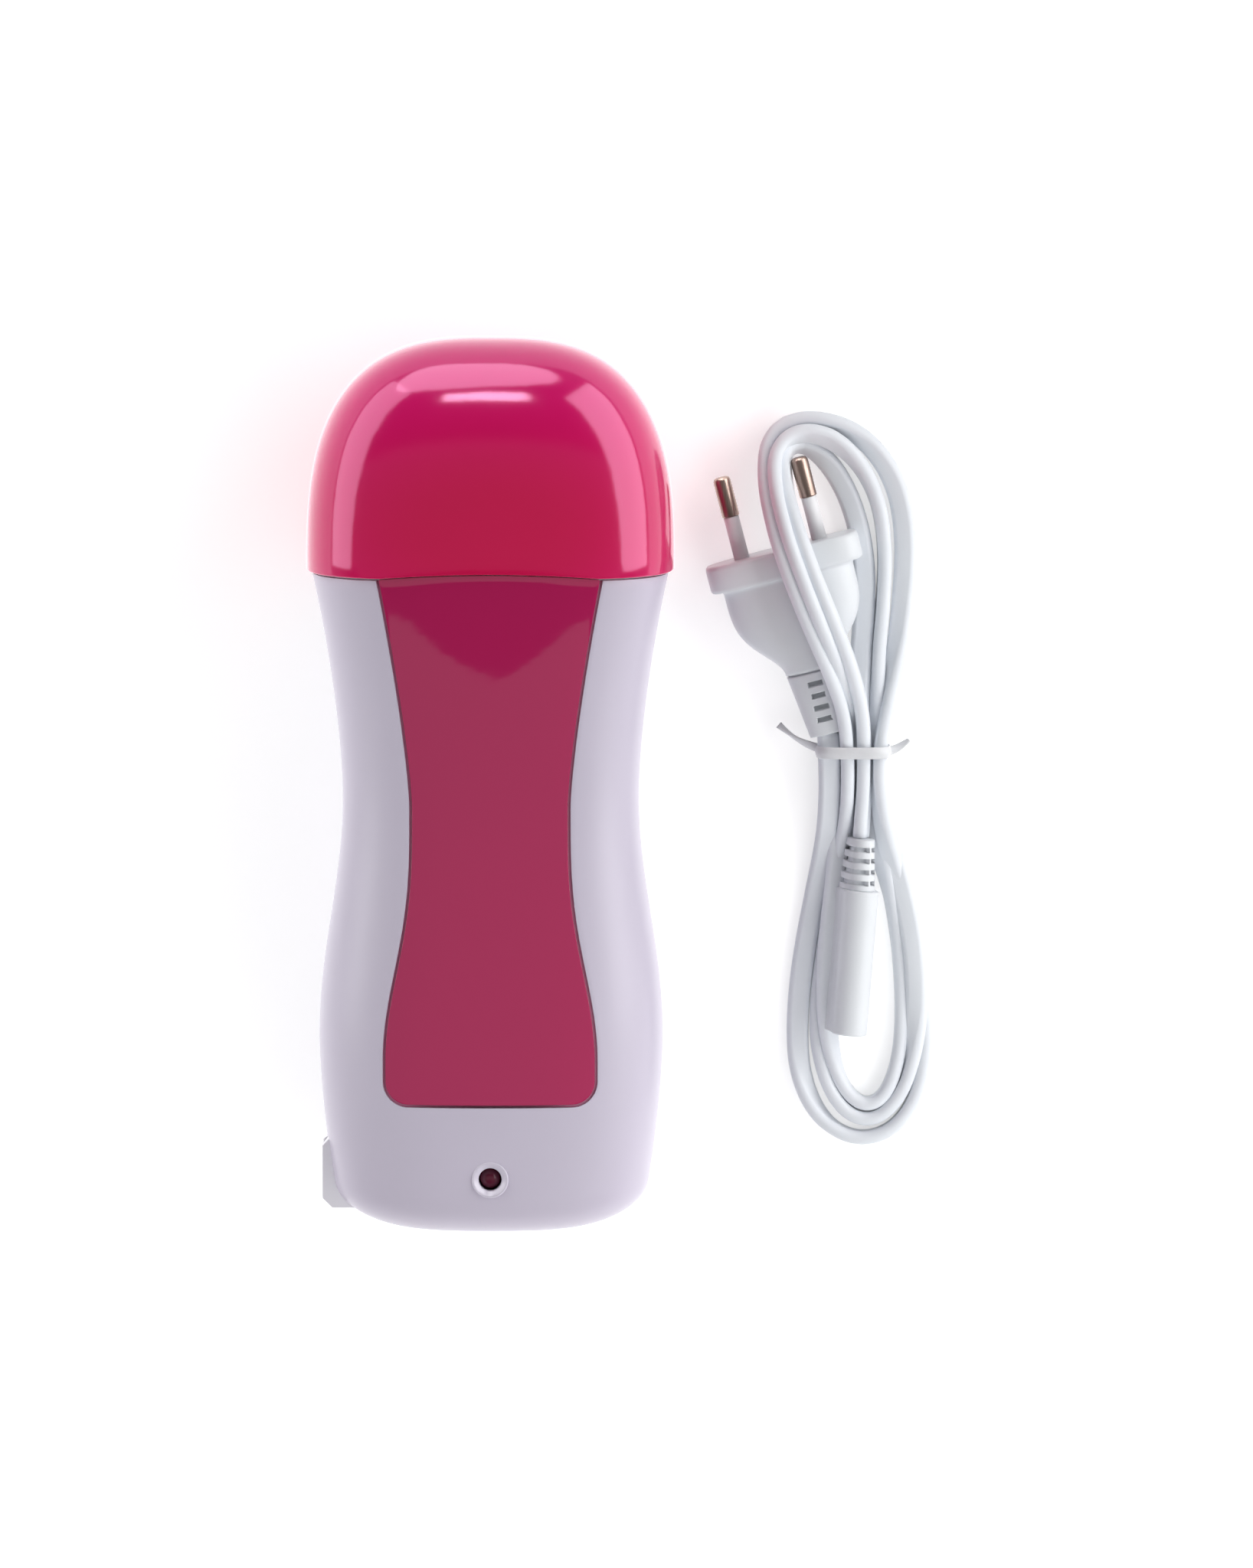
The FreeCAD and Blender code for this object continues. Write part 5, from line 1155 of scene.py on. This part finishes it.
# %% [markdown]
# ### The finishes inside
#
# Nothing of the inside shows until the cap comes off. One grey for all would do until then, but
# the cap does come off, the well is open then, and someone may take the model apart. So each piece
# has its own material.

# %% Inner metals
# Rolled: long streaks up the well, with a soft grey shine.
paint(metal("rolled aluminium sheet", "#C4C6C8", "#AEB0B3", 0.34, grain_mm=(0.3, 14.0, 0.3),
            grain=0.1), "heat_trough")
# Headed cold: small bright dots.
paint(metal("bright aluminium", "#CFCFD0", "#BDBDBF", 0.3), "clamp_rivets")
# Rolled across: yellow, streaked from side to side.
paint(metal("brass sheet", "#D2B268", "#B99850", 0.28, grain_mm=(5.0, 0.3, 0.3)), "electrodes")
# Hardened strip: darker and cooler than the aluminium.
paint(metal("spring steel strip", "#9C9EA2", "#85878B", 0.32, grain_mm=(0.3, 8.0, 0.3)),
      "heater_clamp")
# Zinc plated: a bluish grey, half bright.
paint(metal("zinc plated steel", "#A9ABAE", "#8F9195", 0.34), "case_screws")
# Tinned can: a warmer, duller grey.
paint(metal("tinned steel", "#B8B6B0", "#9D9B95", 0.38), "thermal_fuse")

# %% Inner plastics, ceramics and wires
# Fired and unglazed: quite matt, coarse and mottled.
paint(moulded("fired ceramic", "#8A7C6C", "#746758", 0.8, grain_mm=0.4, grain=0.4, mottle_mm=3.0),
      "heating_stones")
# Split mica: amber, with flakes that shine.
paint(moulded("mica sheet", "#B9A783", "#A08E6A", 0.35, grain_mm=0.6, grain=0.3, mottle_mm=4.0),
      "mica_sheets")
# Cured lacquer: green and fairly glossy.
paint(moulded("solder mask", "#2A5E36", "#235230", 0.3, grain_mm=0.4, grain=0.1, mottle_mm=5.0),
      "lamp_board")
# Dipped: sand coloured, with a soft shine.
paint(moulded("lacquered resistor", "#A08766", "#917857", 0.35, grain_mm=0.2), "series_resistor")
# Moulded epoxy: black and satin.
paint(moulded("black epoxy", "#161618", "#1D1D20", 0.4, grain_mm=0.2), "rectifier_diode")
# Silicone: soft and matt, in the colours that tell the wires apart.
paint(moulded("red silicone insulation", "#A02020", "#8E1A1A", 0.5, grain_mm=0.3), "live_wire")
paint(moulded("blue silicone insulation", "#234A92", "#1D3F80", 0.5, grain_mm=0.3), "neutral_wire")
paint(moulded("white silicone insulation", "#D8D8D4", "#CFCFCA", 0.5, grain_mm=0.3),
      "fuse_wire", "lamp_wires")

# %% [markdown]
# ## The floor
#
# The heater lies on a pale floor that has to look white to the camera but still take a shadow.
# More light on the floor would also wash out the heater. Instead, some plain white is added to the
# floor's own shade for rays from the camera and from glossy surfaces; to all other rays it is an
# ordinary pale surface.

# %% Floor
FLOOR_MIDDLE, FLOOR_HALF, FLOOR_TOP = (30.0, 0.0), 4500.0, -0.02
WHITE_SEEN, WHITE_MIRRORED = 0.5, 1.2

corners = np.array([(-1, -1), (1, -1), (1, 1), (-1, 1)]) * FLOOR_HALF + FLOOR_MIDDLE
floor = mesh_object("floor", np.column_stack([corners, np.full(4, FLOOR_TOP)]), [[0, 1, 2, 3]])
floor_white = bpy.data.materials.new("white floor")
floor_white.use_nodes = True
floor_white.node_tree.nodes.clear()
seen = add(floor_white, "ShaderNodeLightPath")
pale = add(floor_white, "ShaderNodeBsdfDiffuse", Color=linear("#EDEDED"))
at_camera = add(floor_white, "ShaderNodeMath", {"operation": "MULTIPLY"},
                i0=seen.outputs["Is Camera Ray"], i1=WHITE_SEEN)
in_gloss = add(floor_white, "ShaderNodeMath", {"operation": "MULTIPLY"},
               i0=seen.outputs["Is Glossy Ray"], i1=WHITE_MIRRORED)
extra = add(floor_white, "ShaderNodeMath", {"operation": "ADD"},
            i0=at_camera.outputs[0], i1=in_gloss.outputs[0])
white = add(floor_white, "ShaderNodeEmission", Color=(1, 1, 1, 1), Strength=extra.outputs[0])
both = add(floor_white, "ShaderNodeAddShader", i0=pale.outputs[0], i1=white.outputs[0])
add(floor_white, "ShaderNodeOutputMaterial", Surface=both.outputs[0])
floor.data.materials.append(floor_white)
print("floor: %.0f m square" % (2 * FLOOR_HALF * MM))

# %% [markdown]
# ## The room
#
# A glossy thing shows the room round it, so the room is designed by what it draws on the cap and
# the window. The ceiling is dark, apart from a weak card, and the edge of that card is the curve
# that lies across the top of the window. A real card could hang there, but it would take light
# from the lamps. So the ceiling is drawn in the world's shader: a direction divided by its height
# is a place on a ceiling one unit above, x to the right and y towards the cap.
#
# The card's edge is a wide V with a round tip: the distance it is set back is the root of the sum
# of two squares, one that grows with x and one that is fixed. Near the horizon the room is light
# grey, as a studio is, and gets darker upwards.

# %% The room
V_SLOPE, V_TIP = 0.25, 0.02
CARD_NEAR, CARD_FAR, CARD_GLOW = (-0.283, -0.279), (0.45, 0.35), 0.29
HORIZON_GLOW, ZENITH_GLOW, ZENITH_FROM = 0.6, 0.06, 0.45

world = bpy.data.worlds.new("studio")
bpy.context.scene.world = world
world.use_nodes = True
where = add(world, "ShaderNodeTexCoord").outputs["Generated"]
look = add(world, "ShaderNodeSeparateXYZ", Vector=where).outputs
over_x = add(world, "ShaderNodeMath", {"operation": "DIVIDE"}, i0=look["X"], i1=look["Z"])
over_y = add(world, "ShaderNodeMath", {"operation": "DIVIDE"}, i0=look["Y"], i1=look["Z"])
squared = add(world, "ShaderNodeMath", {"operation": "MULTIPLY"},
              i0=over_x.outputs[0], i1=over_x.outputs[0])
both_squares = add(world, "ShaderNodeMath", {"operation": "MULTIPLY_ADD"},
                   i0=squared.outputs[0], i1=V_SLOPE ** 2, i2=V_TIP ** 2)
set_back = add(world, "ShaderNodeMath", {"operation": "SQRT"}, i0=both_squares.outputs[0])
past_edge = add(world, "ShaderNodeMath", {"operation": "ADD"},
                i0=set_back.outputs[0], i1=over_y.outputs[0])
from_near = add(world, "ShaderNodeMapRange", Value=past_edge.outputs[0],
                From_Min=CARD_NEAR[0], From_Max=CARD_NEAR[1])
to_far = add(world, "ShaderNodeMapRange", Value=over_y.outputs[0],
             From_Min=CARD_FAR[0], From_Max=CARD_FAR[1])
card = add(world, "ShaderNodeMath", {"operation": "MULTIPLY"},
           i0=from_near.outputs[0], i1=to_far.outputs[0])
overhead = add(world, "ShaderNodeMapRange", Value=look["Z"], From_Min=0.55, From_Max=0.6,
               To_Max=CARD_GLOW)
lit_card = add(world, "ShaderNodeMath", {"operation": "MULTIPLY"},
               i0=card.outputs[0], i1=overhead.outputs[0])
horizon = add(world, "ShaderNodeMapRange", Value=look["Z"], From_Min=0.0, From_Max=ZENITH_FROM,
              To_Min=HORIZON_GLOW, To_Max=ZENITH_GLOW)
room = add(world, "ShaderNodeMath", {"operation": "ADD"},
           i0=lit_card.outputs[0], i1=horizon.outputs[0])
sky = world.node_tree.nodes["Background"]
plug_in(world, sky, Color=(1, 1, 1, 1), Strength=room.outputs[0])
print("room: %d nodes" % len(world.node_tree.nodes))

# %% [markdown]
# ## The lamps
#
# Three soft boxes stand low round the heater: left, right and behind the crown. They draw the
# bright bands along the cap's sides and over its crown, and a small one higher up behind makes the
# short bright dash near the crown. Boxes that light as much as they show would be the plain way,
# but their place is fixed by the reflections. So these four only show in glossy surfaces, and five
# others, which don't show, give the light. Both kinds are set by their radiance, the brightness
# at which a mirror shows them, so that a lamp can change size without changing that.

# %% Soft boxes
CAP_MIDDLE, LEAD_MIDDLE = (0.0, 65.0, 40.0), (85.0, -50.0, 5.0)
GLOSSY_ONLY = dict(glossy=True, diffuse=False)
LIGHT_ONLY = dict(glossy=False, diffuse=True)


def soft_box(name, bearing, lift, width, height, radiance, shape="RECTANGLE", away=900.0,
             target=CAP_MIDDLE, *, glossy, diffuse):
    """An area lamp that faces a target, placed by its direction: bearing in degrees round from +x,
    and lift in degrees above the floor. Its power is width times height times pi times the
    radiance."""
    lamp = bpy.data.lights.new(name, "AREA")
    lamp.shape = shape
    lamp.size, lamp.size_y = width * MM, height * MM
    lamp.energy = radiance * np.pi * lamp.size * lamp.size_y
    bearing, lift = np.radians(bearing), np.radians(lift)
    flat = np.cos(lift)
    direction = Vector((flat * np.cos(bearing), flat * np.sin(bearing), np.sin(lift)))
    holder = bpy.data.objects.new(name, lamp)
    holder.location = (Vector(target) + direction * away) * MM
    holder.rotation_euler = direction.to_track_quat("Z", "Y").to_euler()
    holder.visible_glossy, holder.visible_diffuse = glossy, diffuse
    bpy.context.scene.collection.objects.link(holder)
    print("%s: %.2f W" % (name, lamp.energy))


soft_box("left soft box", 155, 18.2, 1260, 525, 4.4, **GLOSSY_ONLY)
soft_box("right soft box", 24, 22.7, 1260, 644, 5.2, **GLOSSY_ONLY)
soft_box("crown soft box", 97, 15.5, 800, 540, 4.7, "ELLIPSE", **GLOSSY_ONLY)
soft_box("dash lamp", 92, 40.5, 270, 104, 17.0, **GLOSSY_ONLY)
soft_box("left fill", 165, 19, 1200, 560, 2.75, **LIGHT_ONLY)
soft_box("right fill", 15, 25, 1200, 560, 2.95, **LIGHT_ONLY)
soft_box("crown fill", 97, 15.5, 727, 499, 1.4, **LIGHT_ONLY)
soft_box("foot fill", -90, 22, 1000, 520, 1.1, **LIGHT_ONLY)
soft_box("lead fill", -55, 52, 400, 200, 2.0, away=350.0, target=LEAD_MIDDLE, **LIGHT_ONLY)
bpy.context.scene.view_settings.view_transform = "Standard"
